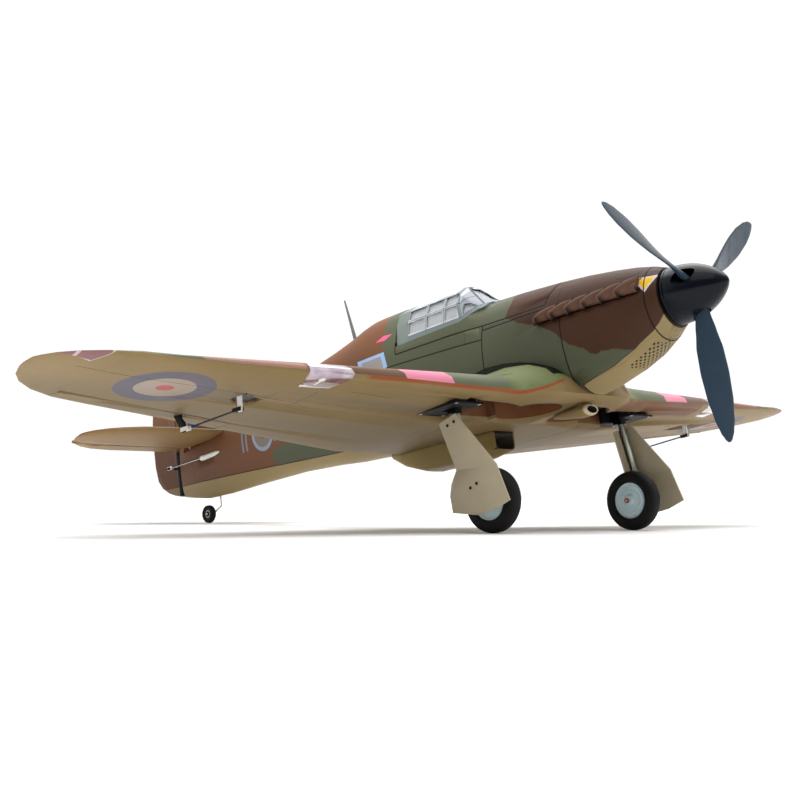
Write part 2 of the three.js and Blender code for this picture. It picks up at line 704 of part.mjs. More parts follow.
function fuselage() {
  const tunnelR = vec(-420, -18.8, RUDDER_HORN_Z);
  const tunnelE = vec(-420, ELEVATOR_HORN_Y, 2.8);
  const hingeSlot = box(ELEVATOR_HINGE_X - 9, ELEVATOR_HINGE_X + 9, -30, 30, 11, 40);
  const { floor } = BATTERY_BAY;
  const pad = box(PAD.rear, PAD.front, -PAD.half, PAD.half, floor - 1, floor + PAD.rise);
  return join(pad, cut(
    fuselageForm(0),
    box(RING_REAR_X - GAP, 0, -60, 60, -90, 90),
    sidePrism(above(HATCH_SEAM, 150), -60, 60),
    sidePrism(below(COWL_EDGE), -60, 60),
    rootBlock(true, GAP, -140, 58),
    rod(vec(-60, 0, -2), vec(FIREWALL_X, 0, -2), 27, 27, 24),
    box(-206, FIREWALL_X - 8, -24, 24, -20, 22),
    rod(vec(-100, 0, 12), vec(-140, 0, 12), 7),
    fuselageForm(-9).intersect(box(-780, -440, -60, 60, -90, 90)),
    box(-445, -420, -22, 22, -20, 28),
    box(BATTERY_BAY.rear, BATTERY_BAY.front, -BATTERY_BAY.half, BATTERY_BAY.half,
      BATTERY_BAY.floor, 100),
    box(SERVO_BAY.rear, SERVO_BAY.front, -SERVO_BAY.half, SERVO_BAY.half, SERVO_BAY.floor, 100),
    rod(tunnelR, tunnelR.clone().setX(-945), 3.2, 3.2, 12),
    rod(tunnelE, tunnelE.clone().setX(-945), 3.1, 3.1, 12),
    rod(vec(-803, tunnelR.y, tunnelR.z), vec(-853, tunnelR.y, tunnelR.z), 4, 4, 16),
    rod(vec(-831, tunnelE.y, tunnelE.z), vec(-873, tunnelE.y, tunnelE.z), 4, 4, 16),
    tailplaneForm(GAP).intersect(box(ELEVATOR_HINGE_X, -780, -60, 60, 0, 40)),
    hingeSlot,
    rod(vec(TAIL_PIVOT_X, 0, -70), vec(TAIL_PIVOT_X, 0, -38), 2.2, 2.2, 12),
    exhaustRail(1, 0.3),
    exhaustRail(-1, 0.3),
  ));
}

const exitTube = (rear, front, y, z) => cut(
  rod(vec(rear, y, z), vec(front, y, z), 3.65, 3.65, 16),
  rod(vec(rear - 9, y, z), vec(front + 9, y, z), 2.95, 2.95, 16),
);

// The row of six stubs stands on a thin rail let into the fuselage's side
const EXHAUST = { front: -86, rear: -210, z: 13, count: 6 };

function exhaustRail(side, grow) {
  const { front, rear, z } = EXHAUST;
  const plan = [[front + grow, 34 - grow], [front + grow, 40.5 + grow], [rear - grow, 50 + grow],
    [rear - grow, 44 - grow]];
  return planPrism(plan.map(([u, v]) => [u, v * side]), z - 7 - grow, z + 7 + grow);
}

function exhaust(side) {
  const { front, rear, z, count } = EXHAUST;
  const step = (front - rear) / count;
  const stubs = [];
  for (let i = 0; i < count; i += 1) {
    const x = front - step * (i + 0.35);
    const skin = 37.5 + ((front - x) / (front - rear)) * 9.5;
    const root = vec(x, (skin - 1) * side, z + 2);
    const mouth = vec(x - 15, (skin + 7.5) * side, z - 1.5);
    stubs.push(cut(
      join(ball(root, 8, vec(1.05, 0.8, 0.8), 8), rod(root, mouth, 6.4, 4.6, 8)),
      rod(mouth.clone().lerp(root, 0.4), mouth.clone().lerp(root, -0.4), 3.4, 3.4, 6),
    ));
  }
  const rail = exhaustRail(side, 0).intersect(fuselageForm(1.6));
  return join(rail, cut(join(...stubs), fuselageForm(GAP)));
}

function noseRing() {
  return cut(
    fuselageForm(0).intersect(box(RING_REAR_X, 0, -60, 60, -90, 90)),
    rod(vec(-50, 0, 0), vec(-90, 0, 0), 24, 24, 28),
  );
}

function lowerCowl() {
  const shell = cut(fuselageForm(0), fuselageForm(-3));
  const edge = shifted(COWL_EDGE, -0.2, -GAP);
  const region = sidePrism(below(edge), -60, 60);
  return shell.intersect(region).intersect(box(-179.6, RING_REAR_X - GAP, -60, 60, -100, 0));
}

function hatchShell() {
  const inset = [
    [HATCH_REAR_X + GAP, 29 + GAP], [-300, 27.5 + GAP], [HATCH_FRONT_X - 4 - GAP, 26 + GAP],
    [HATCH_FRONT_X + 7 - GAP, 62], [-210, 90], [HATCH_REAR_X + GAP, 90],
  ];
  const inner = [
    [-425, 0], [-425, 35], [-326, 36], [-302, 50], [-210, 47], [-208, 0],
  ];
  return cut(
    fuselageForm(0).intersect(sidePrism(inset, -60, 60)),
    sidePrism(above(SILL_LINE, 150), -60, 60),
    fuselageForm(-4).intersect(sidePrism(inner, -60, 60)),
    box(-422, -330, -31, 31, 20, 60),
  );
}

// The greenhouse: six-sided sections under a flat crown, sloping down ahead to the windscreen
function canopyRing(x, inset) {
  const front = THREE.MathUtils.clamp((-300 - x) / 34, 0, 1);
  const blend = (a, b) => THREE.MathUtils.lerp(a, b, front);
  const half = [
    [0, blend(62, 90.5)],
    [blend(13, 15), blend(61, 88)],
    [blend(24, 31), blend(57, 79.5)],
    [blend(32, 38.5), blend(51, 65)],
    [blend(38, 42), blend(42, 48)],
    [blend(41, 43.4), blend(25, 38)],
    [blend(42, 44.4), blend(15, 25)],
    [0, blend(15, 25)],
  ];
  const pull = (value, by) => Math.max(0, value - by);
  const port = half.map(([y, z]) => vec(x, pull(y, inset), z - (z > 50 ? inset * 0.9 : 0)));
  const starboard = port.slice(1, -1).reverse().map((p) => vec(p.x, -p.y, p.z));
  return [...port, ...starboard];
}

const canopyForm = (inset, front, rear) => {
  const stations = [-298, -302, -334, -336, -380, rear].map((x) => Math.min(x, front));
  return loft([...new Set(stations)].map((x) => canopyRing(x, inset)));
};

const OVER_SILL = sidePrism(above(shifted(SILL_LINE, 0, GAP), 150), -60, 60);

// Fore and aft edges of the side panes
const PANES = [[-350.8, -331], [-379.8, -353.2], [-410.5, -382.2]];

function paneHoles() {
  const holes = PANES.flatMap(([x0, x1]) => [
    box(x0, x1, -60, 60, 49, 63.4),
    box(x0, x1, -60, 60, 66.4, 78.4),
  ]);
  holes.push(sidePrism([[-323, 50], [-323, 63], [-316, 62], [-306, 57]], -60, 60));
  holes.push(box(-331, -290, -11, 11, 66.5, 86));
  return join(...holes);
}

const canopyFrame = () => cut(
  canopyForm(0, -298, HATCH_REAR_X + 0.8).intersect(OVER_SILL),
  canopyForm(1.3, -290, HATCH_REAR_X + 0.8 - 2),
  box(HATCH_REAR_X - 5, HATCH_REAR_X + 6, -26, 26, 43, 78),
  paneHoles(),
);

// The glazing stands just behind the frame
const canopyGlass = () => {
  const back = new THREE.Matrix4().makeTranslation(-1, 0, -0.4);
  return cut(
    moved(canopyForm(1.8, -304, HATCH_REAR_X + 2), back).intersect(
      sidePrism(above(shifted(SILL_LINE, 0, 2.2), 150), -60, 60)),
    moved(canopyForm(2.9, -290, HATCH_REAR_X - 4), back),
  );
};

function cockpitTub() {
  const tray = cut(
    box(-421, -331, -30, 30, 30, 39),
    box(-419, -333, -28, 28, 32, 60),
  );
  const seat = join(box(-408, -385, -12, 12, 31, 44), box(-412, -404, -12, 12, 31, 68));
  const panel = box(-346, -343, -24, 24, 31, 56);
  return join(tray, seat, panel);
}

// ---------------------------------------------------------------- propeller group
const BLADE = [
  // radius, chord, thickness
  [9, 15, 8], [28, 16, 7], [45, 22, 5.6], [65, 30, 4.4], [90, 34, 3.4], [115, 33, 2.8],
  [138, 26, 2.2], [151, 18, 1.8], [158, 10, 1.4], [PROP_RADIUS, 4, 1],
];

function bladeRing([radius, chord, thickness]) {
  const pitch = Math.atan(PROP_PITCH / (2 * Math.PI * Math.max(radius, 24)));
  const ring = [];
  for (let i = 0; i < 12; i += 1) {
    const angle = (i / 12) * 2 * Math.PI;
    const [c, t] = [(Math.cos(angle) * chord) / 2, (Math.sin(angle) * thickness) / 2];
    ring.push(vec(
      PROP_X + c * Math.sin(pitch) + t * Math.cos(pitch),
      -c * Math.cos(pitch) + t * Math.sin(pitch),
      radius,
    ));
  }
  return ring;
}

const aboutX = (degrees) => new THREE.Matrix4().makeRotationX(THREE.MathUtils.degToRad(degrees));

function propeller() {
  const hubBody = turned([[-52, 3.1], [-52, 12], [-28, 12], [-28, 3.1], [-52, 3.1]]);
  const blade = loft(BLADE.map(bladeRing));
  return join(hubBody, ...BLADE_ANGLES.map((angle) => moved(blade, aboutX(angle))));
}

// Outer radius of the spinner at a distance behind its tip
const spinnerRadius = (share) => SPINNER_RADIUS * Math.sin((Math.PI / 2) * share ** 0.7);

function spinner() {
  const outer = [];
  const inner = [];
  for (let i = 0; i <= 9; i += 1) {
    const share = (i / 9) ** 1.6;
    outer.push([-SPINNER_LENGTH * share, spinnerRadius(share)]);
    if (i > 1) inner.push([-SPINNER_LENGTH * share - 0.6, spinnerRadius(share) - 1.8]);
  }
  inner[inner.length - 1][0] = -SPINNER_LENGTH;
  inner[0][1] = 0;
  const shell = turned([...outer, ...inner.reverse()], vec(0, 0, 0), 24);
  const slot = box(PROP_X - 12, PROP_X + 11, -10, 10, 14, 50);
  return cut(shell, ...BLADE_ANGLES.map((angle) => moved(slot, aboutX(angle))));
}

const washer = (x0, x1, radius, bore, sides = 28) =>
  turned([[x0, bore], [x0, radius], [x1, radius], [x1, bore], [x0, bore]], vec(0, 0, 0), sides);

// ---------------------------------------------------------------- underside pieces
function scoopRing([x, halfWidth, bottom]) {
  const ring = [];
  for (let i = 0; i < 24; i += 1) {
    const angle = (i / 24) * 2 * Math.PI;
    const [side, up] = [Math.sin(angle), Math.cos(angle)];
    const power = 0.45;
    const half = (-70 - bottom) / 2;
    ring.push(vec(
      x,
      -Math.sign(side) * Math.abs(side) ** power * halfWidth,
      bottom + half + Math.sign(up) * Math.abs(up) ** power * half,
    ));
  }
  return ring;
}

const SCOOP = [[-322, 18.5, -109], [-350, 22.5, -113], [-435, 25, -111], [-468, 19, -99], [-492, 12, -85]];

function radiatorScoop() {
  const duct = loft([[-300, 15.5, -107], [-400, 15.5, -109]].map(scoopRing));
  const lip = sidePrism([[-312, -60], [-318, -98], [-328, -130], [-300, -130], [-300, -60]], -50, 50);
  const shell = cut(
    loft(SCOOP.map(scoopRing)), lip, rootBlock(false, GAP, 0, 45), fuselageForm(GAP),
  );
  return cut(shell, duct.intersect(box(-500, -300, -50, 50, -130, -91)));
}

function intakeRing([x, halfWidth, halfHeight, z]) {
  const ring = [];
  for (let i = 0; i < 16; i += 1) {
    const angle = (i / 16) * 2 * Math.PI;
    ring.push(vec(x, -Math.sin(angle) * halfWidth, z + Math.cos(angle) * halfHeight));
  }
  return ring;
}

function carburettorIntake() {
  const body = loft([
    [-193, 11, 5, -90.5], [-196, 12.5, 6.5, -90.5], [-210, 12.5, 6.5, -90.5],
    [-232, 8, 4.5, -89], [-246, 3, 2, -88],
  ].map(intakeRing));
  const bore = loft([[-180, 9.5, 4.4, -90.5], [-216, 8.5, 3.8, -90.5]].map(intakeRing));
  const foot = box(-206, -199, -9, 9, -90, -60);
  return cut(join(body, foot), bore, rootBlock(false, GAP, 0, 45));
}

// ---------------------------------------------------------------- assembly
const airframe = new THREE.Group();

function add(group, name, body, material) {
  const mesh = new THREE.Mesh(geometryOf(body), material);
  mesh.name = name;
  group.add(mesh);
}

function addPair(group, name, portBody, material) {
  add(group, `${name}_left`, portBody, material);
  add(group, `${name}_right`, mirrored(portBody), material);
}

add(airframe, 'fuselage', fuselage(), camouflage());
add(airframe, 'nose_ring', noseRing(), brownPaint());
add(airframe, 'lower_cowl', lowerCowl(), sandPaint());
add(airframe, 'exhaust_left', exhaust(1), brownPaint());
add(airframe, 'exhaust_right', exhaust(-1), brownPaint());
addPair(airframe, 'wing', wingHalf(), camouflage());
addPair(airframe, 'landing_light_cover', landingLens(), paint(0xc9c3c8, 0.15));
add(airframe, 'wing_joiner_tube', rod(
  vec(JOINER.x, -JOINER.halfLength, JOINER.z), vec(JOINER.x, JOINER.halfLength, JOINER.z),
  JOINER.radius, JOINER.radius, 16,
), blackPlastic());
add(airframe, 'tailplane', tailplane(), camouflage());
add(airframe, 'fin', fin(), brownPaint());
add(airframe, 'radiator_scoop', radiatorScoop(), sandPaint());
add(airframe, 'carburettor_intake', carburettorIntake(), sandPaint());
add(airframe, 'antenna_mast', rod(vec(-540, 0, 78.4), vec(-551, 0, 136), 2.6, 1.1, 12),
  paint(0x8d9499, 0.5));
add(airframe, 'motor_base', join(
  rod(vec(FIREWALL_X + 0.3, 0, 0), vec(FIREWALL_X + 3, 0, 0), 22, 22, 20),
  rod(vec(FIREWALL_X + 2, 0, 0), vec(FIREWALL_X + 10, 0, 0), 14, 14, 20),
), greyMetal());
add(airframe, 'speed_controller', box(-200, -150, -13, 13, -19.6, -9), blackPlastic());
add(airframe, 'battery', box(-333, -214, -21, 21, -15.6, 10), paint(0x2a4fa0, 0.5));
add(airframe, 'receiver', box(-368, -356, -20, 20, -15.6, 4), blackPlastic());
addPair(airframe, 'aileron_servo', moved(servo(AILERON_LINK, 1), AILERON.matrix), blackPlastic());
add(airframe, 'elevator_servo', moved(servo(ELEVATOR_LINK, 1), ELEVATOR_FRAME), blackPlastic());
add(airframe, 'rudder_servo', moved(servo(RUDDER_LINK, -1), RUDDER_FRAME), blackPlastic());
addPair(airframe, 'retract_unit', retractUnit(), blackPlastic());
add(airframe, 'rudder_exit_tube', exitTube(-852, -804, -18.8, RUDDER_HORN_Z), whitePlastic());
add(airframe, 'elevator_exit_tube', exitTube(-872, -832, ELEVATOR_HORN_Y, 2.8), whitePlastic());

const hatch = new THREE.Group();
add(hatch, 'hatch_shell', hatchShell(), camouflage());
add(hatch, 'canopy_frame', canopyFrame(), paint(0x77827f, 0.5));
add(hatch, 'canopy_glass', canopyGlass(), paint(0xc8d0d4, 0.1));
add(hatch, 'cockpit_tub', cockpitTub(), paint(0x30352f, 0.7));
airframe.add(hatch);

const rotor = new THREE.Group();
add(rotor, 'propeller', propeller(), darkGloss());
add(rotor, 'spinner', spinner(), darkGloss());
add(rotor, 'spinner_backplate', washer(-63.6, -60.6, 31, 3.1), darkGloss());
add(rotor, 'propeller_nut', washer(-27.6, -21, 5.6, 3.1, 6), greyMetal());
add(rotor, 'motor_can', join(
  rod(vec(-107, 0, 0), vec(-78, 0, 0), 17.5, 17.5, 32),
  rod(vec(-80, 0, 0), vec(-16, 0, 0), 2.6),
), greyMetal());
airframe.add(rotor);

addPair(airframe, 'aileron', aileron(), camouflage());
addPair(airframe, 'aileron_horn', moved(hornPlate(AILERON_LINK, -14, -2.4, -2.6), AILERON.matrix),
  blackPlastic());
addPair(airframe, 'aileron_servo_arm', moved(servoArm(AILERON_LINK), AILERON.matrix),
  whitePlastic());
addPair(airframe, 'aileron_pushrod', moved(pushrod(AILERON_LINK), AILERON.matrix), blackPlastic());

add(airframe, 'elevator', elevator(), camouflage());
add(airframe, 'elevator_servo_arm', moved(servoArm(ELEVATOR_LINK), ELEVATOR_FRAME),
  whitePlastic());
add(airframe, 'elevator_pushrod', moved(pushrod(ELEVATOR_LINK), ELEVATOR_FRAME), greyMetal());
add(airframe, 'rudder', rudder(), brownPaint());
add(airframe, 'rudder_servo_arm', moved(servoArm(RUDDER_LINK), RUDDER_FRAME), whitePlastic());
add(airframe, 'rudder_pushrod', moved(pushrod(RUDDER_LINK), RUDDER_FRAME), greyMetal());

addPair(airframe, 'gear_leg', gearLeg(), greyMetal());
addPair(airframe, 'gear_door', gearDoor(), sandPaint());
const wheelPlace = new THREE.Matrix4().makeTranslation(WHEEL.x, WHEEL.y, WHEEL.z);
addPair(airframe, 'tyre', moved(turnedAcross(tyre(WHEEL.radius, 21, WHEEL.width), 30), wheelPlace),
  rubberBlack());
addPair(airframe, 'wheel_hub', moved(turnedAcross(hub(20.65, 2.3, 22), 20), wheelPlace), hubGrey());

// Tail wheel on a bent wire that steers about its upright
function tailLeg() {
  const { x, z } = TAIL_WHEEL;
  const bends = [
    vec(TAIL_PIVOT_X, 0, -40), vec(TAIL_PIVOT_X, 0, -69), vec(-851, 6.4, -75), vec(x, 7.4, z),
    vec(x, -5, z),
  ];
  const runs = bends.slice(1).map((to, i) => rod(bends[i], to, 1.3, 1.3, 8));
  const knees = bends.slice(1, -1).map((bend) => ball(bend, 1.5, vec(1, 1, 1), 8));
  return join(...runs, ...knees, rod(vec(x, 7.6, z), vec(x, 5, z), 2.4, 2.4, 8));
}

add(airframe, 'tail_leg', tailLeg(), whitePlastic());
add(airframe, 'tail_wheel', moved(
  turnedAcross([
    [-4, 1.6], [-4, 9], [-2.4, 11.9], [0, 12.5], [2.4, 11.9], [4, 9], [4, 1.6], [-4, 1.6],
  ], 20),
  new THREE.Matrix4().makeTranslation(TAIL_WHEEL.x, 0, TAIL_WHEEL.z),
), rubberBlack());

// ---------------------------------------------------------------- stance on the ground
const run = WHEEL.x - TAIL_WHEEL.x;
const rise = TAIL_WHEEL.z - WHEEL.z;
const stance = Math.atan2(rise, run)
  + Math.asin((WHEEL.radius - TAIL_WHEEL.radius) / Math.hypot(run, rise));
airframe.rotation.y = -stance;

const object = new THREE.Group();
object.add(airframe);
object.updateMatrixWorld(true);
const bounds = new THREE.Box3().setFromObject(object, true);
const centre = bounds.getCenter(new THREE.Vector3());
airframe.position.set(-centre.x, 0, -bounds.min.z);

export default object;
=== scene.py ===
"""Looks of a radio-controlled warbird aeroplane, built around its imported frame.

Airframe coordinates are millimetres: X forward, Y to port, Z up, with the
origin at the tip of the spinner. AIR turns them into the row frame, in metres.
"""
import json
import math

import bmesh
import bpy
from mathutils import Matrix, Vector

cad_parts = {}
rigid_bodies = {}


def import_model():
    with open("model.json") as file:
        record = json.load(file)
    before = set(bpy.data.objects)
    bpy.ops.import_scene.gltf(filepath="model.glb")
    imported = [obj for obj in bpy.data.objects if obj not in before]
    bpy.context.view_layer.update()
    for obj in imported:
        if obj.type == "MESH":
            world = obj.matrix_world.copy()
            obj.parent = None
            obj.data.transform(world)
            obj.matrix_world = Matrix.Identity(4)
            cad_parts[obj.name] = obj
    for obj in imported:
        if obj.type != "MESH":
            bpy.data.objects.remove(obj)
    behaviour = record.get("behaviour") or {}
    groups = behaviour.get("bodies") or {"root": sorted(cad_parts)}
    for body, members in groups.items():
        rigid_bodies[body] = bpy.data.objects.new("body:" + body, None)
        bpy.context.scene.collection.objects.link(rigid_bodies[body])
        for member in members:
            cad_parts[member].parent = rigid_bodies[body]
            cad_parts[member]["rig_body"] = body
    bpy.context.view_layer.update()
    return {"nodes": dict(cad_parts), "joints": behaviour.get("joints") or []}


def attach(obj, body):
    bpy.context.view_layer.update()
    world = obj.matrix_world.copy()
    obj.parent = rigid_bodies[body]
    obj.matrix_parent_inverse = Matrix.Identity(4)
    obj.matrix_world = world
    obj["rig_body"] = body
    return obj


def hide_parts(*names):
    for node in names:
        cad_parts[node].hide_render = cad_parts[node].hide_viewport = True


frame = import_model()
scene = bpy.context.scene

JOINTS = {joint["name"]: joint for joint in frame["joints"]}
FORWARD = Vector(JOINTS["propeller_spin"]["axis"])
UP = Vector(JOINTS["hatch_lift"]["axis"])
PROP_X = -38
SIDES = (("left", 1), ("right", -1))
ORIGIN = Vector(JOINTS["propeller_spin"]["pos_m"]) - FORWARD * (PROP_X / 1000)
AIR = Matrix.Translation(ORIGIN) @ Matrix((FORWARD, (0, 1, 0), UP)).transposed().to_4x4()
AIR = AIR @ Matrix.Scale(0.001, 4)
TO_AIR = AIR.inverted()


def pivot(joint):
    """Where a joint is, in airframe millimetres."""
    return TO_AIR @ Vector(JOINTS[joint]["pos_m"])


# ----- node graphs
def srgb(red, green, blue):
    """A colour given in 0-255 display values, as linear light."""
    values = []
    for value in (red, green, blue):
        share = value / 255
        values.append(share / 12.92 if share < 0.04045 else ((share + 0.055) / 1.055) ** 2.4)
    return (*values, 1)


class Value:
    """A number in a shader graph; arithmetic on it adds Math nodes."""

    def __init__(self, graph, source):
        self.graph = graph
        self.source = source

    def math(self, operation, *others):
        return self.graph.math(operation, self, *others)

    def __add__(self, other):
        return self.math("ADD", other)

    def __sub__(self, other):
        return self.math("SUBTRACT", other)

    def __mul__(self, other):
        return self.math("MULTIPLY", other)

    __radd__ = __add__
    __rmul__ = __mul__

    def __rsub__(self, other):
        return self.graph.math("SUBTRACT", other, self)

    def __truediv__(self, other):
        return self.math("DIVIDE", other)

    def __abs__(self):
        return self.math("ABSOLUTE")

    def low(self, other):
        return self.math("MINIMUM", other)

    def high(self, other):
        return self.math("MAXIMUM", other)

    def rise(self, edge, soft=0.4):
        """0 below the edge and 1 above it, over a soft border."""
        return self.graph.map_range(self, edge - soft, edge + soft, 1.0, "SMOOTHSTEP")

    def fall(self, edge, soft=0.4):
        return 1 - self.rise(edge, soft)

    def between(self, low, high, soft=0.4):
        return self.rise(low, soft) * self.fall(high, soft)

    def near(self, centre, half, soft=0.25):
        return abs(self - centre).fall(half, soft)


class Graph:
    """One material: airframe coordinates in, Principled BSDF out."""

    def __init__(self, name):
        self.material = bpy.data.materials.new(name)
        self.material.use_nodes = True
        self.tree = self.material.node_tree
        self.shader = self.tree.nodes["Principled BSDF"]
        coordinates = self.tree.nodes.new("ShaderNodeTexCoord").outputs["Object"]
        self.position = self._vector("SUBTRACT", coordinates, tuple(ORIGIN))
        self.x = self._along(FORWARD)
        self.y = self._along((0, 1, 0))
        self.z = self._along(UP)

    def _vector(self, operation, first, second, output="Vector"):
        node = self.tree.nodes.new("ShaderNodeVectorMath")
        node.operation = operation
        self._set(node.inputs[0], first)
        self._set(node.inputs[1], second)
        return node.outputs[output]

    def _along(self, axis):
        """Airframe millimetres along an axis."""
        return Value(self, self._vector("DOT_PRODUCT", self.position, axis, "Value")) * 1000

    def _set(self, socket, value):
        if isinstance(value, Value):
            value = value.source
        if isinstance(value, bpy.types.NodeSocket):
            self.tree.links.new(value, socket)
        else:
            socket.default_value = value

    def math(self, operation, *values):
        node = self.tree.nodes.new("ShaderNodeMath")
        node.operation = operation
        for socket, value in zip(node.inputs, values):
            self._set(socket, value)
        return Value(self, node.outputs[0])

    def map_range(self, value, low, high, end, interpolation):
        """0 at low and end at high, level beyond both."""
        node = self.tree.nodes.new("ShaderNodeMapRange")
        node.interpolation_type = interpolation
        for name, number in (("Value", value), ("From Min", low), ("From Max", high),
                             ("To Min", 0.0), ("To Max", end)):
            self._set(node.inputs[name], number)
        return Value(self, node.outputs["Result"])

    def noise(self, size, detail, stretch=(1, 1, 1)):
        """Smooth noise of about 0 to 1, its features about size millimetres across."""
        scaled = self._vector("MULTIPLY", self.position, stretch)
        node = self.tree.nodes.new("ShaderNodeTexNoise")
        self._set(node.inputs["Vector"], scaled)
        node.inputs["Scale"].default_value = 1000 / size
        node.inputs["Detail"].default_value = detail
        return Value(self, node.outputs["Fac"])

    def curve(self, value, points):
        """Straight stretches through (value, result) points, level beyond both ends."""
        total = points[0][1]
        for (start, low), (end, high) in zip(points, points[1:]):
            total = self.map_range(value, start, end, high - low, "LINEAR") + total
        return total

    def cells(self, size):
        node = self.tree.nodes.new("ShaderNodeTexVoronoi")
        self._set(node.inputs["Vector"], self.position)
        node.inputs["Scale"].default_value = 1000 / size
        return Value(self, node.outputs["Distance"])

    def mix(self, first, second, share):
        node = self.tree.nodes.new("ShaderNodeMix")
        node.data_type = "RGBA"
        self._set(node.inputs["Factor"], share)
        self._set(node.inputs["A"], first)
        self._set(node.inputs["B"], second)
        return node.outputs[2]

    def finish(self, color, roughness, height=None, depth=0.0003, **plain):
        """Colour, roughness and relief; anything else is set on the shader itself."""
        self._set(self.shader.inputs["Base Color"], color)
        self._set(self.shader.inputs["Roughness"], roughness)
        if height is not None:
            bump = self.tree.nodes.new("ShaderNodeBump")
            bump.inputs["Distance"].default_value = depth
            self._set(bump.inputs["Height"], height)
            self.tree.links.new(bump.outputs["Normal"], self.shader.inputs["Normal"])
        for name, value in plain.items():
            self.shader.inputs[name.replace("_", " ")].default_value = value
        return self.material


# ----- paint
GREEN = srgb(75, 78, 59)
BROWN = srgb(102, 65, 41)
NOSE_BROWN = srgb(63, 36, 19)
SAND = srgb(141, 123, 84)
TAIL_SAND = srgb(134, 106, 65)
OLIVE = srgb(112, 122, 80)
# Sand darker than SAND, as painted shade, for the wing's underside and the intake
SAND_IN_PAINTED_SHADE = srgb(133, 112, 74)
SPINNER_BLUE = srgb(4, 8, 17)
WING_GREEN = srgb(98, 104, 80)
WING_BROWN = srgb(112, 84, 66)
EXHAUST_BROWN = srgb(92, 62, 48)
INK = srgb(14, 13, 12)
# Depth of the foam's grain under its paint, in metres
GRAIN = 0.00025


def segment(u, v, start, end, half=0.35, soft=0.3):
    """A drawn line from start to end in the plane of two coordinates."""
    (u0, v0), (u1, v1) = start, end
    length = math.hypot(u1 - u0, v1 - v0)
    along_u, along_v = (u1 - u0) / length, (v1 - v0) / length
    along = (u - u0) * along_u + (v - v0) * along_v
    off = abs((u - u0) * along_v - (v - v0) * along_u)
    return off.fall(half, soft) * along.between(0, length, soft)


def highest(values):
    """The highest of several values at each point."""
    total = values[0]
    for value in values[1:]:
        total = total.high(value)
    return total


def lines(u, v, paths, half=0.35, soft=0.3):
    """The darkest of several drawn paths."""
    return highest([segment(u, v, start, end, half, soft)
                    for path in paths for start, end in zip(path, path[1:])])


def ring_distance(u, v, centre):
    du, dv = u - centre[0], v - centre[1]
    return (du * du + dv * dv).math("SQRT")


def roundel(graph, color, u, v, centre, rings, allowed):
    """Concentric discs from the largest to the smallest, each (radius, colour)."""
    distance = ring_distance(u, v, centre)
    for radius, ring in rings:
        color = graph.mix(color, ring, distance.fall(radius, 0.5) * allowed)
    return color


def foam(graph):
    """The beaded grain of moulded foam under paint: (height, tint, roughness)."""
    beads = graph.cells(3.2)
    fine = graph.noise(1.4, 3)
    broad = graph.noise(60, 3)
    height = beads * 0.22 + fine * 0.25
    tint = broad * 0.2 + fine * 0.08 + 0.86
    roughness = 0.48 + broad * 0.12 + fine * 0.05
    return height, tint, roughness


def tinted(graph, color, tint):
    """A colour made lighter or darker by a factor."""
    node = graph.tree.nodes.new("ShaderNodeVectorMath")
    node.operation = "SCALE"
    graph._set(node.inputs[0], color[:3] if isinstance(color, tuple) else color)
    graph._set(node.inputs["Scale"], tint)
    return node.outputs["Vector"]


def painted(graph, color, height, tint, roughness):
    """Finishes a graph as dull paint on foam."""
    color = tinted(graph, color, tint)
    return graph.finish(color, roughness, height, GRAIN, Specular_IOR_Level=0.2)


# The seam where the wing's root fairing meets the fuselage's side, as (x, z)
FAIRING_SEAM = (
    (-352, -42), (-330, -33), (-312, -28.5), (-293, -25.7), (-267, -27.2), (-243, -31.4),
    (-225, -36.8), (-211, -43.4), (-200, -50), (-193, -55.5), (-187, -62), (-184.6, -68.7),
    (-182.4, -77.2), (-186, -81),
)
# Where brown meets green along the nose, and where sand begins under it, as (x, z)
NOSE_BORDER = (
    (-260, 28), (-237, 13.8), (-214, 6.3), (-192, -8.2), (-174, -26.2), (-159, -32.8),
    (-152, -43), (-147, -44.4), (-138, -41.4), (-115, -46.5), (-90, -49),
)
# How that border leans over the top of the nose, as (z, x)
NOSE_EDGE = ((28, -260), (45, -257), (62, -262), (80, -275))
CHIN_BORDER = (
    (-190, -71), (-164, -64.6), (-137, -58.2), (-107, -47.2), (-81, -33.6), (-74, -28),
    (-60, -14),
)
CHIN_REAR_X = -190
BELLY_FRONT_X = -470
RUDDER_X = -928
TAILPLANE_Z = 20.4
COWL_RING_SEAM_X = -79.6
SPINNER_SEAM_X = -66.2
FAIRING_INNER_Y = 40
BODY_ROUNDEL = (-703, -5)
# The oval blister on the nose's upper side, and the middle of the triangle ahead of it
BLISTER = (-101, 31.5)
TRIANGLE_X = -78.4
# Pitch of the cooling holes across and along the chin
VENT_ROW = 3.1
VENT_COLUMN = 6.2


def tail_border(graph):
    """Height above the straight border between brown and sand along the tail."""
    return graph.z + 60.6 + (graph.x + 568) * 0.0725


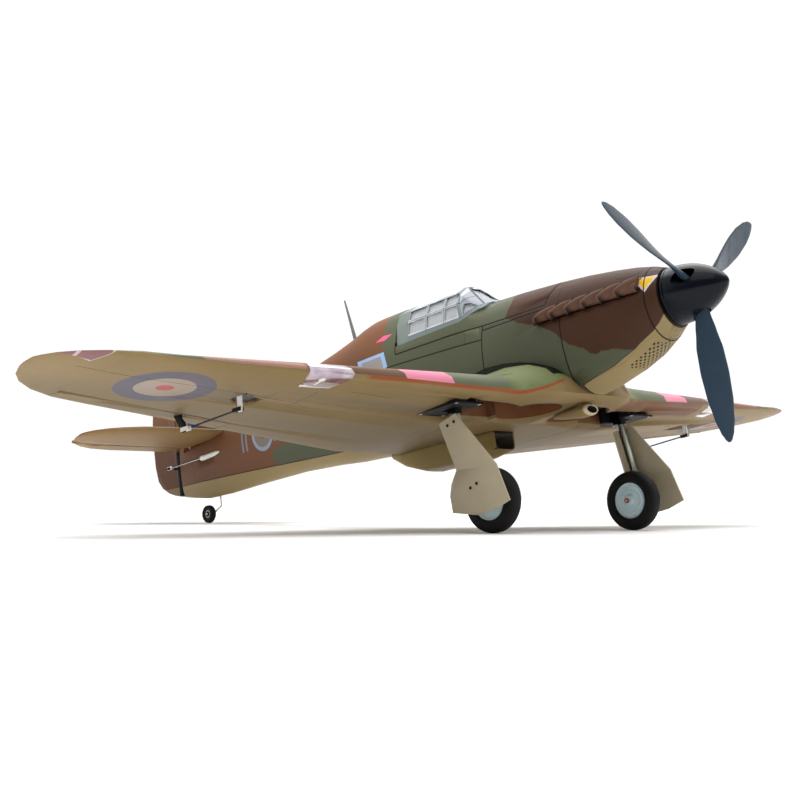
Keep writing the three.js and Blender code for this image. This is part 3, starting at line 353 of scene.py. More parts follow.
def body_camouflage(graph):
    """Green with brown ahead and behind, olive at the wing root, sand below."""
    x, y, z = graph.x, graph.y, graph.z
    wander = graph.noise(17, 3) * 9 - 4.5
    # nose: brown above and ahead of a ragged border
    nose = (z - graph.curve(x, NOSE_BORDER) + wander).rise(0, 0.8)
    ahead = (x - graph.curve(z, NOSE_EDGE) + wander * 0.4).rise(0, 0.8)
    nose = nose * ahead.high(z.fall(27, 1))
    nose = nose * x.rise(-262, 2)
    # rear: brown behind the cockpit, with a green patch low down on the side
    rear = (x * -1 - 452 + wander * 0.6).rise(0, 0.8)
    patch = (x + 690 + wander).rise(0, 0.8) * (z + 12 - (x + 560) * 0.16 + wander).fall(0, 0.8)
    crest = (x + 668 + wander * 2).near(0, 46, 0.8) * (z - 34).rise(0, 0.8)
    brown = nose.high(rear * (1 - patch) * (1 - crest))
    browns = graph.mix(BROWN, NOSE_BROWN, x.rise(-330, 60))
    color = graph.mix(GREEN, browns, brown)
    # olive fairing over the wing root
    fairing = (z - graph.curve(x, FAIRING_SEAM)).fall(0, 0.3) * x.between(-352, -182, 1)
    color = graph.mix(color, OLIVE, fairing * abs(y).rise(FAIRING_INNER_Y, 1))
    # sand below a border along the tail and along the chin
    belly_rear = tail_border(graph).fall(0, 0.3) * x.fall(BELLY_FRONT_X, 1)
    chin = (z - graph.curve(x, CHIN_BORDER)).fall(0, 0.3) * x.rise(CHIN_REAR_X, 1)
    keel = z.fall(-74, 0.8) * x.fall(CHIN_REAR_X, 1)
    return graph.mix(color, SAND, belly_rear.high(chin).high(keel))


def body_markings(graph, color):
    """Soft rings, bars, a flash and plain patches in place of markings."""
    x, y, z = graph.x, graph.y, graph.z
    rear_side = x.between(-900, -650, 1)
    color = roundel(graph, color, x, z, BODY_ROUNDEL, (
        (24, srgb(128, 140, 160)), (19, srgb(112, 104, 92)), (8, srgb(118, 76, 62)),
    ), rear_side)
    bars = (x.between(-680, -676, 0.4) + x.between(-671, -667, 0.4)
            + x.between(-752, -748, 0.4) + x.between(-743, -739, 0.4)) * z.between(-22, 10, 0.5)
    color = graph.mix(color, srgb(110, 116, 124), bars * rear_side)
    flash = z.between(31, 58, 0.4)
    for rear, front, stripe in ((-890, -876, srgb(36, 66, 132)), (-894, -890, srgb(86, 50, 42)),
                                (-910, -894, srgb(112, 110, 100))):
        color = graph.mix(color, stripe, flash * x.between(rear, front, 0.3))
    # a pink lozenge and a pale blue label behind the cockpit, on the right-hand side only
    lean = x + (z - 48) * 0.35
    lozenge = (abs(lean + 449) / 15 + abs(z - 56 - (x + 449) * 0.12) / 3.6).fall(1, 0.06)
    color = graph.mix(color, srgb(206, 84, 120), lozenge * y.fall(0, 1))
    label = x + z * 0.28
    panel = label.between(-489, -440, 0.4) * z.between(12, 38, 0.4)
    color = graph.mix(color, srgb(140, 168, 204), panel * y.fall(0, 1))
    inner = label.between(-482, -447, 0.4) * z.between(14, 34, 0.4)
    color = graph.mix(color, srgb(138, 132, 130), inner * y.fall(0, 1))
    # a plain yellow triangle with a pale border on the nose
    wedge = (x - TRIANGLE_X) * 0.62
    sign = x.between(-91, -66.6, 0.3) * abs(y).rise(20, 1)
    for foot, top, tone in ((5, 22.6, srgb(206, 196, 206)), (8, 21.3, srgb(232, 186, 36))):
        triangle = (z - foot - abs(wedge) * 2.0).rise(0, 0.3) * (z + wedge * 0.1).fall(top, 0.3)
        color = graph.mix(color, tone, triangle * sign)
    return color


def body_seams(graph):
    """Seams pressed into the foam and lighter scribed lines: (dark, thin)."""
    x, y, z = graph.x, graph.y, graph.z
    seams = lines(x, z, (
        ((-448, 17), (-293.5, 10.8)),
        ((-293.5, 27.5), (-293.7, -25)),
        ((-293.5, 21.7), (-83, 21.6)),
        ((-185, 20), (-183.2, 3.4), (-183.1, -35.6), (-186, -70)),
        ((-430, 44), (-430, 29), (-300, 27.5), (-204, 26), (-193, 62), (-193, 76)),
    ), 0.75)
    thin = lines(x, z, (
        ((-318.5, 26.5), (-317.8, 12.8)),
        ((-419, 14.8), (-419.6, 6)),
        ((-188, 47), (-186, 24)),
        ((-841, -5), (-878, -5), (-878, -35), (-841, -35), (-841, -5)),
        ((-914, -1), (-853, -7)),
    ), 0.28) * 0.6
    arc = (z - graph.curve(x, FAIRING_SEAM)).between(-1.5, 6.6, 0.4) * x.between(-338, -196, 5)
    arc = arc.high(lines(x, z, (FAIRING_SEAM[9:],), 1.5))
    arc = arc * abs(y).rise(FAIRING_INNER_Y, 1)
    chin = abs(z - graph.curve(x, CHIN_BORDER)).fall(0.4, 0.25) * x.between(CHIN_REAR_X, -81, 1)
    rear = abs(tail_border(graph) - 0.4).fall(0.45, 0.25) * x.between(-913, BELLY_FRONT_X, 1)
    rings = x.near(COWL_RING_SEAM_X, 0.5).high(x.near(SPINNER_SEAM_X, 0.4))
    return highest((seams, rings, arc, rear, chin * 0.6)), thin


def oval(x, z, centre, long_squared, tall_squared):
    """1 inside an oval given by the squares of its half axes."""
    along, up = x - centre[0], z - centre[1]
    return (along * along / long_squared + up * up / tall_squared).fall(1, 0.08)


def chin_vents(graph):
    """Cooling holes in the chin, alternate rows offset by half a pitch."""
    x, y, z = graph.x, graph.y, graph.z
    row = (y + 18) / VENT_ROW
    shift = (row / 2).math("FRACT").rise(0.5, 0.01) * 0.5
    column = (x / VENT_COLUMN + shift).math("FRACT")
    hole = abs(row.math("FRACT") - 0.5).fall(0.33, 0.06) * abs(column - 0.5).fall(0.18, 0.03)
    field = (x + abs(y) * 0.4).between(-119, -80, 0.1) * abs(y).fall(17.5, 0.4)
    return hole * field * z.fall(-30, 0.5)


def body_paint(name):
    """Paint of the fuselage, its hatch, nose, fin and rudder."""
    graph = Graph(name)
    x, y, z = graph.x, graph.y, graph.z
    height, tint, roughness = foam(graph)
    color = body_markings(graph, body_camouflage(graph))
    dark, thin = body_seams(graph)
    pop = oval(x, z, BLISTER, 170, 12)
    rim = pop - oval(x, z, (BLISTER[0], BLISTER[1] + 0.3), 140, 8)
    color = graph.mix(color, INK, dark * 0.94)
    color = graph.mix(color, INK, thin.high(rim.high(0) * 0.6))
    vents = chin_vents(graph)
    # The holes painted near black: painted shade inside them
    color = graph.mix(color, srgb(14, 11, 8), vents)
    # shadowed gap ahead of the rudder, and its black horn
    gap = x.between(-928.5, -919.5, 0.4) * z.fall(17, 0.6)
    horn = x.between(-942, -913, 0.3) * abs(y).rise(6.2, 0.3) * z.near(-8, 2, 0.3)
    color = graph.mix(color, INK, gap.high(horn))
    height = height - dark * 3 - thin * 2 - vents * 3 + pop * 1.2
    beside_cockpit = x.between(-470, -270, 60) * z.between(-30, 60, 20)
    # The upper sides lighter: a painted sheen
    painted_top_sheen = z.rise(48, 26) * 0.7
    # The rudder darker: painted shade
    rudder_shade = x.fall(RUDDER_X, 1) * 0.34
    tint = tint + beside_cockpit * 0.5 + painted_top_sheen - rudder_shade
    return painted(graph, color, height, tint, roughness)


# Height of the paint border round the wing's leading edge, as (|y|, z)
EDGE_BORDER = (
    (46, -58), (54, -62), (75, -68.5), (90, -71), (102, -71.6), (142, -69.2), (187, -66.4),
    (246, -62.4), (350, -57), (413, -54), (495, -48.6), (530, -46), (560, -43.6), (600, -41.5),
)
# The wing's outline: straight edges that run from the centre line to a rounded tip
WING_LEAD_X = -190
WING_TRAIL_X = -477
LEAD_SWEEP = 0.156
TRAIL_SWEEP = 0.098
TIP_OUT = 492
TIP_LENGTH = 116
TIP_X = -332
BREAK_OUT = 135
# How far aft the patch at the wing tip's lamp reaches, as (|y|, distance)
TIP_PATCH = ((556, 0), (565, 22), (577, 14), (592, 5), (598, 0))
# Discs under and over the wing, as (x, |y|)
UNDER_ROUNDEL = (-336.5, 462.5)
OVER_ROUNDEL = (-352, 440)
# A folded wheel's well, and the bottom and top of what is painted as its inside
WELL_CENTRE = (-246.4, 42.6)
WELL_RADIUS = 38.2
WELL_HEIGHTS = (-82.4, -46.5)


def aft_of_lead(graph):
    """Distance behind the wing's leading edge, round the tip as well."""
    out = abs(graph.y)
    tip = ((out - TIP_OUT).high(0) / TIP_LENGTH).low(0.995)
    sweep = (1 - tip * tip).math("SQRT")
    lead = (out.low(TIP_OUT) * -LEAD_SWEEP + (WING_LEAD_X - TIP_X)) * sweep + TIP_X
    return lead - graph.x


def wing_top(graph, aft):
    """Brown bands on green, olive at the root, and pink patches on the leading edge."""
    x, z = graph.x, graph.z
    out = abs(graph.y)
    wander = graph.noise(24, 3) * 10 - 5
    band = (out + aft * 0.45 + wander * 1.5).between(247, 425, 0.8)
    inner_band = (out - aft * 0.75 + wander * 1.5).between(-125, -48, 0.8)
    top = graph.mix(WING_GREEN, WING_BROWN, band.high(inner_band))
    top = graph.mix(top, OLIVE, out.fall(108, 12) * x.rise(-352, 2) * z.rise(-80, 1))
    top = graph.mix(top, srgb(226, 138, 162), out.between(187.5, 246.5, 0.6) * aft.fall(20, 0.4))
    return graph.mix(top, srgb(176, 130, 116), out.between(362, 470, 3) * aft.fall(6, 1.5) * 0.7)


def wing_grooves(graph):
    """Panel lines, cable paths and slots pressed into the underside."""
    x = graph.x
    out = abs(graph.y)
    ribs = highest([out.near(97, 0.3)] + [out.near(rib, 0.25) for rib in (212, 404, 542)])
    paths = lines(x, out, (
        ((-321, 568), (-321, 505), (-316, 417), (-316, 323), (-322, 300)),
        ((-279, 322), (-331, 318), (-334.6, 284), (-326.4, 269)),
        ((-300, 357), (-346, 357), (-346, 404)),
        ((-266, 291), (-262, 236)),
    ), 0.34)
    slots = lines(x, out, (
        ((-369, 87), (-345, 96), (-316, 103.5), (-295, 101), (-281, 90)),
        ((-352, 119), (-340, 123)),
    ), 0.75)
    return highest((ribs * 0.35, paths, slots))


def wing_paint(name):
    """Sand underneath; brown and green above, which the leading edge shows."""
    graph = Graph(name)
    x, y, z = graph.x, graph.y, graph.z
    height, tint, roughness = foam(graph)
    out = abs(y)
    aft = aft_of_lead(graph)
    along = ((out - BREAK_OUT).high(0) / (TIP_OUT - BREAK_OUT)).low(1)
    chord = out * -(LEAD_SWEEP + TRAIL_SWEEP) + (WING_LEAD_X - WING_TRAIL_X)
    share = aft / chord
    line = graph.curve(out, EDGE_BORDER) + (along * 8 - 12) * share
    above = (z - line).rise(0, 0.35)
    under = 1 - above
    color = graph.mix(SAND_IN_PAINTED_SHADE, wing_top(graph, aft), above)
    color = roundel(graph, color, x, out, UNDER_ROUNDEL, (
        (48.5, srgb(96, 92, 104)), (29.5, srgb(165, 148, 133)), (8.8, srgb(180, 79, 78)),
    ), under)
    color = roundel(graph, color, x, out, OVER_ROUNDEL, (
        (62, srgb(60, 70, 92)), (40, srgb(196, 192, 180)), (18, srgb(132, 70, 60)),
    ), above)
    # reddish lip along the bottom of the leading edge
    near_lip = (z - line).between(-3.4, -0.2, 0.5) * y.fall(0, 1)
    far_lip = (z - line).between(-9, -0.2, 2.2) * y.rise(0, 1)
    lip = near_lip.high(far_lip) * out.between(50, 292, 6) * aft.fall(30, 4)
    # The far wing's lip darker: painted shade
    lip_color = graph.mix(srgb(150, 68, 30), srgb(104, 56, 32), y.rise(0, 1))
    color = graph.mix(color, lip_color, lip * 0.85)
    # mauve patch with a pale border at the wing tip's lamp
    beyond = aft - graph.curve(out, TIP_PATCH)
    border = beyond.fall(1.2, 0.5) * out.between(555, 599, 0.5) * out.fall(570, 8)
    color = graph.mix(color, srgb(206, 198, 200), border)
    mauve = graph.mix(srgb(132, 92, 100), srgb(196, 178, 186), out.near(583, 1.6))
    color = graph.mix(color, mauve, beyond.fall(-0.8, 0.5) * out.between(557, 597, 0.5))
    # bare foam inside the wells for the wheels and legs
    wheel = ring_distance(x, out, WELL_CENTRE).fall(WELL_RADIUS, 0.3)
    channel = x.between(-281, -229, 0.3) * out.between(60, 156, 0.4)
    well = wheel.high(channel) * z.between(*WELL_HEIGHTS, 0.4) * x.fall(-210, 0.4)
    bare_foam = graph.mix(srgb(82, 42, 18), srgb(118, 74, 38), graph.noise(40, 2))
    color = graph.mix(color, bare_foam, well)
    # dark strip along the joint with the fuselage
    arc = (z - graph.curve(x, FAIRING_SEAM[:10])).rise(-0.6, 0.4)
    arc = arc * x.between(-342, -193, 1) * out.fall(58, 1)
    groove = wing_grooves(graph) * under
    color = graph.mix(color, srgb(60, 46, 24), groove * 0.8)
    color = graph.mix(color, INK, arc)
    stain = graph.noise(90, 4, (0.5, 1.6, 1)).rise(0.6, 0.15)
    color = graph.mix(color, srgb(150, 128, 92), stain * under * 0.25)
    # The rear of the underside darker: painted shade
    tint = tint - share.rise(0.6, 0.25) * under * 0.26
    return painted(graph, color, height - groove * 2.4 - arc * 3, tint, roughness)


def tail_paint(name):
    """Tailplane and elevator: sand underneath, brown and green above."""
    graph = Graph(name)
    height, tint, roughness = foam(graph)
    out = abs(graph.y)
    wander = graph.noise(30, 2) * 10 - 5
    border = abs(graph.y + 40) + wander - (graph.x + 860) * 0.8
    top = graph.mix(GREEN, BROWN, border.rise(84, 0.8))
    color = graph.mix(TAIL_SAND, top, graph.z.rise(TAILPLANE_Z, 0.4))
    rib = out.near(70, 0.3).high(out.near(130, 0.3)) * 0.5
    color = graph.mix(color, srgb(110, 94, 66), rib * 0.6)
    return painted(graph, color, height - rib * 2, tint, roughness)


def moulded(name, color, roughness, **plain):
    """Moulded plastic: a faint texture and uneven gloss."""
    graph = Graph(name)
    fine = graph.noise(0.9, 3)
    broad = graph.noise(18, 2)
    color = tinted(graph, color, broad * 0.16 + 0.92)
    uneven = fine * 0.08 + broad * 0.08 + (roughness - 0.08)
    return graph.finish(color, uneven, fine, 0.00006, **plain)


def metal(graph, color, roughness, stretch=(1, 1, 14)):
    """Finishes a graph as metal brushed across the direction that stretch squeezes most."""
    brushed = graph.noise(2.4, 3, stretch)
    color = tinted(graph, color, brushed * 0.18 + 0.9)
    return graph.finish(color, brushed * 0.16 + roughness, brushed, 0.00004, Metallic=1.0)


def rubber(name):
    """Near-black rubber with a fine pebbled skin."""
    graph = Graph(name)
    fine = graph.noise(0.8, 3)
    broad = graph.noise(14, 3)
    color = graph.mix(srgb(5, 5, 6), srgb(13, 13, 14), broad.rise(0.55, 0.25))
    return graph.finish(color, fine * 0.15 + 0.6, fine + graph.cells(1.6) * 0.3, 0.00008,
                        Specular_IOR_Level=0.25)


def gloss(name, color, roughness=0.24):
    """Smooth sprayed plastic with light orange peel and scuffs."""
    graph = Graph(name)
    peel = graph.noise(3.5, 2)
    scuff = graph.noise(26, 4, (0.4, 1.2, 1.2)).rise(0.6, 0.1)
    color = graph.mix(color, srgb(60, 70, 82), scuff * 0.06)
    return graph.finish(color, scuff * 0.14 + roughness, peel, 0.00003, Specular_IOR_Level=0.1,
                        Coat_Weight=0.12, Coat_Roughness=0.04)


def clear(name, color, roughness, through):
    """Hazy clear plastic."""
    graph = Graph(name)
    haze = graph.noise(22, 3)
    tinting = graph.mix(color, srgb(255, 255, 255), haze.rise(0.5, 0.4) * 0.5)
    return graph.finish(tinting, haze * 0.1 + roughness, graph.noise(12, 1), 0.00003,
                        Transmission_Weight=through, IOR=1.3)


PANES_REAR_X = -411
WINDSCREEN_X = -326
PANES_FOOT_Z = 46.6


def canopy_paint(name):
    """Grey-green sill and rear band; thin dark lines between pale panes."""
    graph = Graph(name)
    x, z = graph.x, graph.z
    over_foot = z - PANES_FOOT_Z - (x - WINDSCREEN_X - 1).high(0) * 0.5
    pane = x.rise(PANES_REAR_X, 0.25) * over_foot.rise(0, 0.25)
    columns = x.near(-380.9, 0.4).high(x.near(-351.9, 0.4))
    columns = columns.high(z.near(64.9, 0.4) * x.fall(WINDSCREEN_X, 1))
    columns = columns.high(lines(x, z, (
        ((-327, 66), (-316, 73)), ((-334, 89.5), (-302, 58.5)), ((-411, 80.5), (-334, 81.5)),
    ), 0.45, 0.25))
    bar = (x + (z - 48) * 0.2 + 326.4).near(0, 2.2, 0.3)
    haze = graph.noise(16, 3)
    # The panes painted pale: the plastic's milky tone and a painted reflection of the white
    # surroundings, greyer on the windscreen
    pale = graph.mix(srgb(194, 200, 206), srgb(232, 235, 238), haze.rise(0.5, 0.3))
    frame_color = graph.mix(srgb(130, 142, 145), srgb(136, 148, 142), x.fall(PANES_REAR_X, 0.6))
    pale = graph.mix(pale, srgb(160, 165, 174), x.rise(-327, 1))
    color = graph.mix(frame_color, pale, pane)
    color = graph.mix(color, srgb(134, 142, 146), bar * pane)
    color = graph.mix(color, srgb(48, 52, 56), columns * pane)
    edge = abs(over_foot).fall(0.35, 0.2) * x.rise(PANES_REAR_X, 0.2)
    edge = edge.high(x.near(PANES_REAR_X, 0.35) * z.rise(PANES_FOOT_Z, 0.2))
    color = graph.mix(color, srgb(70, 76, 74), edge * 0.8)
    fine = graph.noise(1.2, 2)
    rough = 0.5 - pane * 0.06 + fine * 0.05
    return graph.finish(color, rough, fine * 0.4 - edge, 0.00004, Specular_IOR_Level=0.22)


def lamp_glazing(name):
    """The landing light's glossy cover: a pale painted highlight ahead, its box behind, a white rim, a
    bulb.
    """
    graph = Graph(name)
    out = abs(graph.y)
    aft = out * -LEAD_SWEEP + WING_LEAD_X - graph.x
    haze = graph.noise(14, 3)
    # Pale lilac ahead: a painted highlight on the cover
    ahead = graph.mix(srgb(176, 158, 172), srgb(214, 202, 212), haze.rise(0.5, 0.2))
    box = graph.mix(srgb(94, 58, 48), srgb(132, 92, 90), haze.rise(0.45, 0.25))
    color = graph.mix(ahead, box, (aft - (out - 334) * 0.25).rise(9, 3))
    rim = out.near(309, 1.6, 0.5).high(out.near(360, 1.2, 0.5)).high(aft.rise(26.5, 0.6))
    color = graph.mix(color, srgb(226, 222, 222), rim * aft.rise(4, 2) * 0.85)
    bulb = ring_distance(out, aft, (338, 12)).fall(3.4, 0.6)
    stem = out.near(338, 1.0, 0.4) * aft.between(10, 24, 1)
    color = graph.mix(color, srgb(240, 238, 236), bulb.high(stem))
    return graph.finish(color, haze * 0.1 + 0.1, haze, 0.00003, Coat_Weight=0.5, Coat_Roughness=0.08)


def scoop_paint(name):
    """Dull sand outside; the duct inside is dark, as painted shade."""
    graph = Graph(name)
    height, tint, roughness = foam(graph)
    inside = abs(graph.y).fall(16, 0.3) * graph.z.rise(-107.4, 0.4)
    inside = inside * graph.x.between(-402, -310, 0.5)
    # The duct's inside painted dark: painted shade
    color = graph.mix(srgb(128, 109, 62), srgb(44, 36, 22), inside)
    return painted(graph, color, height, tint, roughness)


def intake_paint(name):
    """Sand outside with a pale lip; near black inside the bore, as painted shade."""
    graph = Graph(name)
    height, tint, roughness = foam(graph)
    across_bore = graph.y / 9.6
    up_bore = (graph.z + 90.5) / 4.5
    bore = (across_bore * across_bore + up_bore * up_bore).fall(1, 0.05) * graph.x.rise(-216, 0.5)
    color = graph.mix(SAND_IN_PAINTED_SHADE, srgb(190, 174, 146), graph.x.rise(-196.5, 0.8))
    # Near black inside the bore: painted shade
    color = graph.mix(color, srgb(30, 18, 10), bore * graph.x.fall(-193.6, 0.3))
    return painted(graph, color, height, tint, roughness)


def retract_plastic(name):
    """Black moulding with a small bright screw near each corner of its flange."""
    graph = Graph(name)
    centre = pivot("gear_left_fold")
    fine = graph.noise(0.9, 3)
    screws = []
    for along in (-26, 26):
        for outward in (-11, 24):
            middle = (centre.x + along, abs(centre.y) + outward)
            screws.append(ring_distance(graph.x, abs(graph.y), middle).fall(2.0, 0.3))
    color = graph.mix(srgb(10, 10, 12), srgb(20, 20, 22), graph.noise(18, 2))
    color = graph.mix(color, srgb(214, 212, 204), highest(screws))
    return graph.finish(color, fine * 0.1 + 0.5, fine, 0.00006, Specular_IOR_Level=0.12)


def strut_metal(name):
    """Brushed grey leg with a blackened trunnion at its top."""
    graph = Graph(name)
    top = graph.z.rise(-87, 0.6)
    color = graph.mix(srgb(168, 171, 159), srgb(16, 16, 18), top)
    return metal(graph, color, top * 0.2 + 0.26)


def pushrod_plastic(name):
    """A black rod whose clevis at the horn's end is white."""
    graph = Graph(name)
    fine = graph.noise(0.9, 3)
    horn_end = graph.x.fall(pivot("aileron_left_hinge").x + 12, 0.4)
    color = graph.mix(srgb(13, 13, 15), srgb(222, 218, 206), horn_end)
    return graph.finish(color, fine * 0.1 + 0.4, fine, 0.00006, Specular_IOR_Level=0.2)


def tail_hub_plastic(name):
    """Black hub with one grey ring."""
    graph = Graph(name)
    centre = pivot("tail_wheel_spin")
    fine = graph.noise(0.8, 3)
    ring = ring_distance(graph.x, graph.z, (centre.x, centre.z)).near(4.6, 1.0, 0.3)
    color = graph.mix(srgb(12, 12, 13), srgb(170, 176, 178), ring)
    return graph.finish(color, fine * 0.1 + 0.4, fine, 0.00005, Specular_IOR_Level=0.25)


M_BODY = body_paint("body_paint")
M_WING = wing_paint("wing_paint")
M_TAIL = tail_paint("tail_paint")
M_SCOOP = scoop_paint("scoop_paint")
M_INTAKE = intake_paint("intake_paint")
M_RETRACT = retract_plastic("retract_plastic")
M_ROD = pushrod_plastic("aileron_rod")
M_TAIL_HUB = tail_hub_plastic("tail_hub")
M_DOOR = moulded("door_plastic", srgb(170, 158, 131), 0.45)
M_SPINNER = gloss("spinner_gloss", SPINNER_BLUE)
M_BLADE = gloss("blade_gloss", srgb(45, 60, 74), 0.3)
M_FRAME = canopy_paint("canopy_frame")
M_GLASS = clear("canopy_glass", srgb(214, 220, 226), 0.12, 0.4)
M_LAMP = lamp_glazing("lamp_cover")
M_COCKPIT = moulded("cockpit_plastic", srgb(120, 124, 122), 0.6)
M_BLACK = moulded("black_plastic", srgb(13, 13, 15), 0.42, Specular_IOR_Level=0.15)
M_WHITE = moulded("white_plastic", srgb(226, 226, 220), 0.4)
M_STEEL = metal(Graph("bright_wire"), srgb(200, 200, 200), 0.17, (1, 6, 1))
M_ALUMINIUM = metal(Graph("brushed_aluminium"), srgb(150, 152, 154), 0.26)
M_STRUT = strut_metal("strut_grey")
M_RUBBER = rubber("tyre_rubber")
M_HUB = moulded("hub_plastic", srgb(205, 228, 234), 0.34)
M_MAST = moulded("mast_plastic", srgb(120, 126, 129), 0.45)
M_CARBON = moulded("carbon_tube", srgb(24, 24, 26), 0.3)
M_BATTERY = moulded("battery_wrap", srgb(36, 70, 140), 0.3)
M_RED = moulded("red_cap", srgb(170, 60, 50), 0.4)


# ----- pieces
def place(obj, body, slot, material, *nodes):
    """Gives a finished piece its material and body, and hides the CAD nodes it stands for."""
    obj.data.materials.clear()
    obj.data.materials.append(material)
    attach(obj, body)
    if nodes:
        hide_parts(*nodes)
    return obj


def added(name, data):
    """A new object in the scene."""
    obj = bpy.data.objects.new(name, data)
    scene.collection.objects.link(obj)
    return obj


def shade(mesh, angle=32):
    """Smooth shading, with creases where faces meet at more than an angle."""
    for polygon in mesh.polygons:
        polygon.use_smooth = True
    mesh.set_sharp_from_angle(angle=math.radians(angle))


def skin(node, slot, material, angle=30, bevel=0.0):
    """A welded, smoothly shaded skin over a CAD node's own shape."""
    source = frame["nodes"][node]
    mesh = source.data.copy()
    work = bmesh.new()
    work.from_mesh(mesh)
    bmesh.ops.remove_doubles(work, verts=work.verts, dist=2e-6)
    bmesh.ops.dissolve_degenerate(work, edges=work.edges, dist=2e-6)
    bmesh.ops.recalc_face_normals(work, faces=work.faces)
    work.to_mesh(mesh)
    work.free()
    obj = added(node + "_skin", mesh)
    if bevel:
        modifier = obj.modifiers.new("edges", "BEVEL")
        modifier.width = bevel / 1000
        modifier.segments = 2
        modifier.limit_method = "ANGLE"
        modifier.angle_limit = math.radians(50)
    shade(mesh, angle)
    return place(obj, source["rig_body"], slot, material, node)


def new_mesh(name, vertices, faces, matrix=None, angle=32):
    """An object from airframe-millimetre points, or from points under a matrix."""
    mesh = bpy.data.meshes.new(name)
    mesh.from_pydata([tuple(v) for v in vertices], [], faces)
    mesh.transform(AIR @ (matrix or Matrix.Identity(4)))
    work = bmesh.new()
    work.from_mesh(mesh)
    bmesh.ops.remove_doubles(work, verts=work.verts, dist=1e-6)
    bmesh.ops.recalc_face_normals(work, faces=work.faces)
    work.to_mesh(mesh)
    work.free()
    shade(mesh, angle)
    return added(name, mesh)


def turns(sides):
    """Evenly spaced angles round a circle."""
    return [2 * math.pi * i / sides for i in range(sides)]


def strip_faces(rings, sides):
    """Quads between neighbouring rings of points."""
    faces = []
    for k in range(rings - 1):
        for i in range(sides):
            j = (i + 1) % sides
            faces.append((k * sides + i, k * sides + j, (k + 1) * sides + j, (k + 1) * sides + i))
    return faces


def end_faces(rings, sides):
    """The two caps that close a stack of rings."""
    return [tuple(range(sides)), tuple(range((rings - 1) * sides, rings * sides))]


def lathe(name, profile, matrix=None, sides=64, angle=32):
    """(distance along X, radius) turned about X; a closed profile ends where it starts."""
    vertices = []
    for x, radius in profile:
        for turn in turns(sides):
            vertices.append((x, radius * math.cos(turn), radius * math.sin(turn)))
    return new_mesh(name, vertices, strip_faces(len(profile), sides), matrix, angle)


def tapered_tube(name, points, radius, end_radius, sides=16):
    """A round bar through points, closed at both ends."""
    points = [Vector(p) for p in points]
    vertices = []
    count = len(points)
    side = None
    for k, point in enumerate(points):
        ahead = points[min(k + 1, count - 1)] - points[max(k - 1, 0)]
        ahead.normalize()
        if side is None:
            side = ahead.orthogonal().normalized()
        side = (side - ahead * side.dot(ahead)).normalized()
        other = ahead.cross(side)
        share = k / (count - 1)
        size = radius + (end_radius - radius) * share
        for turn in turns(sides):
            vertices.append(point + (side * math.cos(turn) + other * math.sin(turn)) * size)
    return new_mesh(name, vertices, strip_faces(count, sides) + end_faces(count, sides))


def joined(name, objects):
    """Several loose pieces as one object."""
    work = bmesh.new()
    for obj in objects:
        work.from_mesh(obj.data)
        bpy.data.objects.remove(obj)
    mesh = bpy.data.meshes.new(name)
    work.to_mesh(mesh)
    work.free()
    shade(mesh)
    return added(name, mesh)


def across(centre):
    """A matrix whose X runs along the aeroplane's Y, at a centre."""
    turn = Matrix(((0, -1, 0), (1, 0, 0), (0, 0, 1))).to_4x4()
    return Matrix.Translation(centre) @ turn


# ----- airframe skins
for side, _ in SIDES:
    skin(f"wing_{side}", "foam_camouflage", M_WING)
    skin(f"aileron_{side}", "foam_camouflage", M_WING)
    skin(f"landing_light_cover_{side}", "lamp_cover", M_LAMP, 40)
    skin(f"aileron_servo_{side}", "black_plastic", M_BLACK, bevel=0.5)
    skin(f"retract_unit_{side}", "black_plastic", M_RETRACT, bevel=0.6)
    skin(f"aileron_horn_{side}", "black_plastic", M_BLACK, bevel=0.2)
    skin(f"aileron_servo_arm_{side}", "white_plastic", M_WHITE, bevel=0.2)
    skin(f"aileron_pushrod_{side}", "black_plastic", M_ROD)
    skin(f"gear_leg_{side}", "bare_metal", M_STRUT)
    skin(f"gear_door_{side}", "foam_sand", M_DOOR)
# The rest, as (slot, material, crease angle, bevel, nodes)
for slot, material, angle, bevel, *nodes in (
    ("foam_camouflage", M_BODY, 30, 0, "fuselage", "hatch_shell"),
    ("foam_brown", M_BODY, 30, 0, "nose_ring", "fin", "rudder"),
    ("foam_sand", M_BODY, 30, 0, "lower_cowl"),
    ("foam_camouflage", M_TAIL, 30, 0, "tailplane", "elevator"),
    ("canopy_frame", M_FRAME, 25, 0, "canopy_frame"),
    ("canopy_glass", M_GLASS, 25, 0, "canopy_glass"),
    ("cockpit_dark", M_COCKPIT, 30, 1, "cockpit_tub"),
    ("foam_sand", M_SCOOP, 40, 0, "radiator_scoop"),
    ("foam_sand", M_INTAKE, 40, 0, "carburettor_intake"),
    ("mast_grey", M_MAST, 40, 0, "antenna_mast"),
    ("white_plastic", M_WHITE, 40, 0, "rudder_exit_tube", "elevator_exit_tube"),
    ("wire_steel", M_STEEL, 40, 0, "rudder_pushrod", "elevator_pushrod"),
    ("wire_steel", M_WHITE, 40, 0, "tail_leg"),
    ("carbon_tube", M_CARBON, 30, 0.3, "wing_joiner_tube"),
    ("bare_metal", M_ALUMINIUM, 30, 0.3, "motor_base", "motor_can", "propeller_nut"),
    ("battery_blue", M_BATTERY, 30, 0.3, "battery"),
    ("black_plastic", M_BLACK, 30, 0.3, "speed_controller", "receiver"),
    ("black_plastic", M_BLACK, 30, 0.3, "elevator_servo", "rudder_servo"),
    ("white_plastic", M_WHITE, 30, 0.3, "elevator_servo_arm", "rudder_servo_arm"),
):
    for node in nodes:
        skin(node, slot, material, angle, bevel)

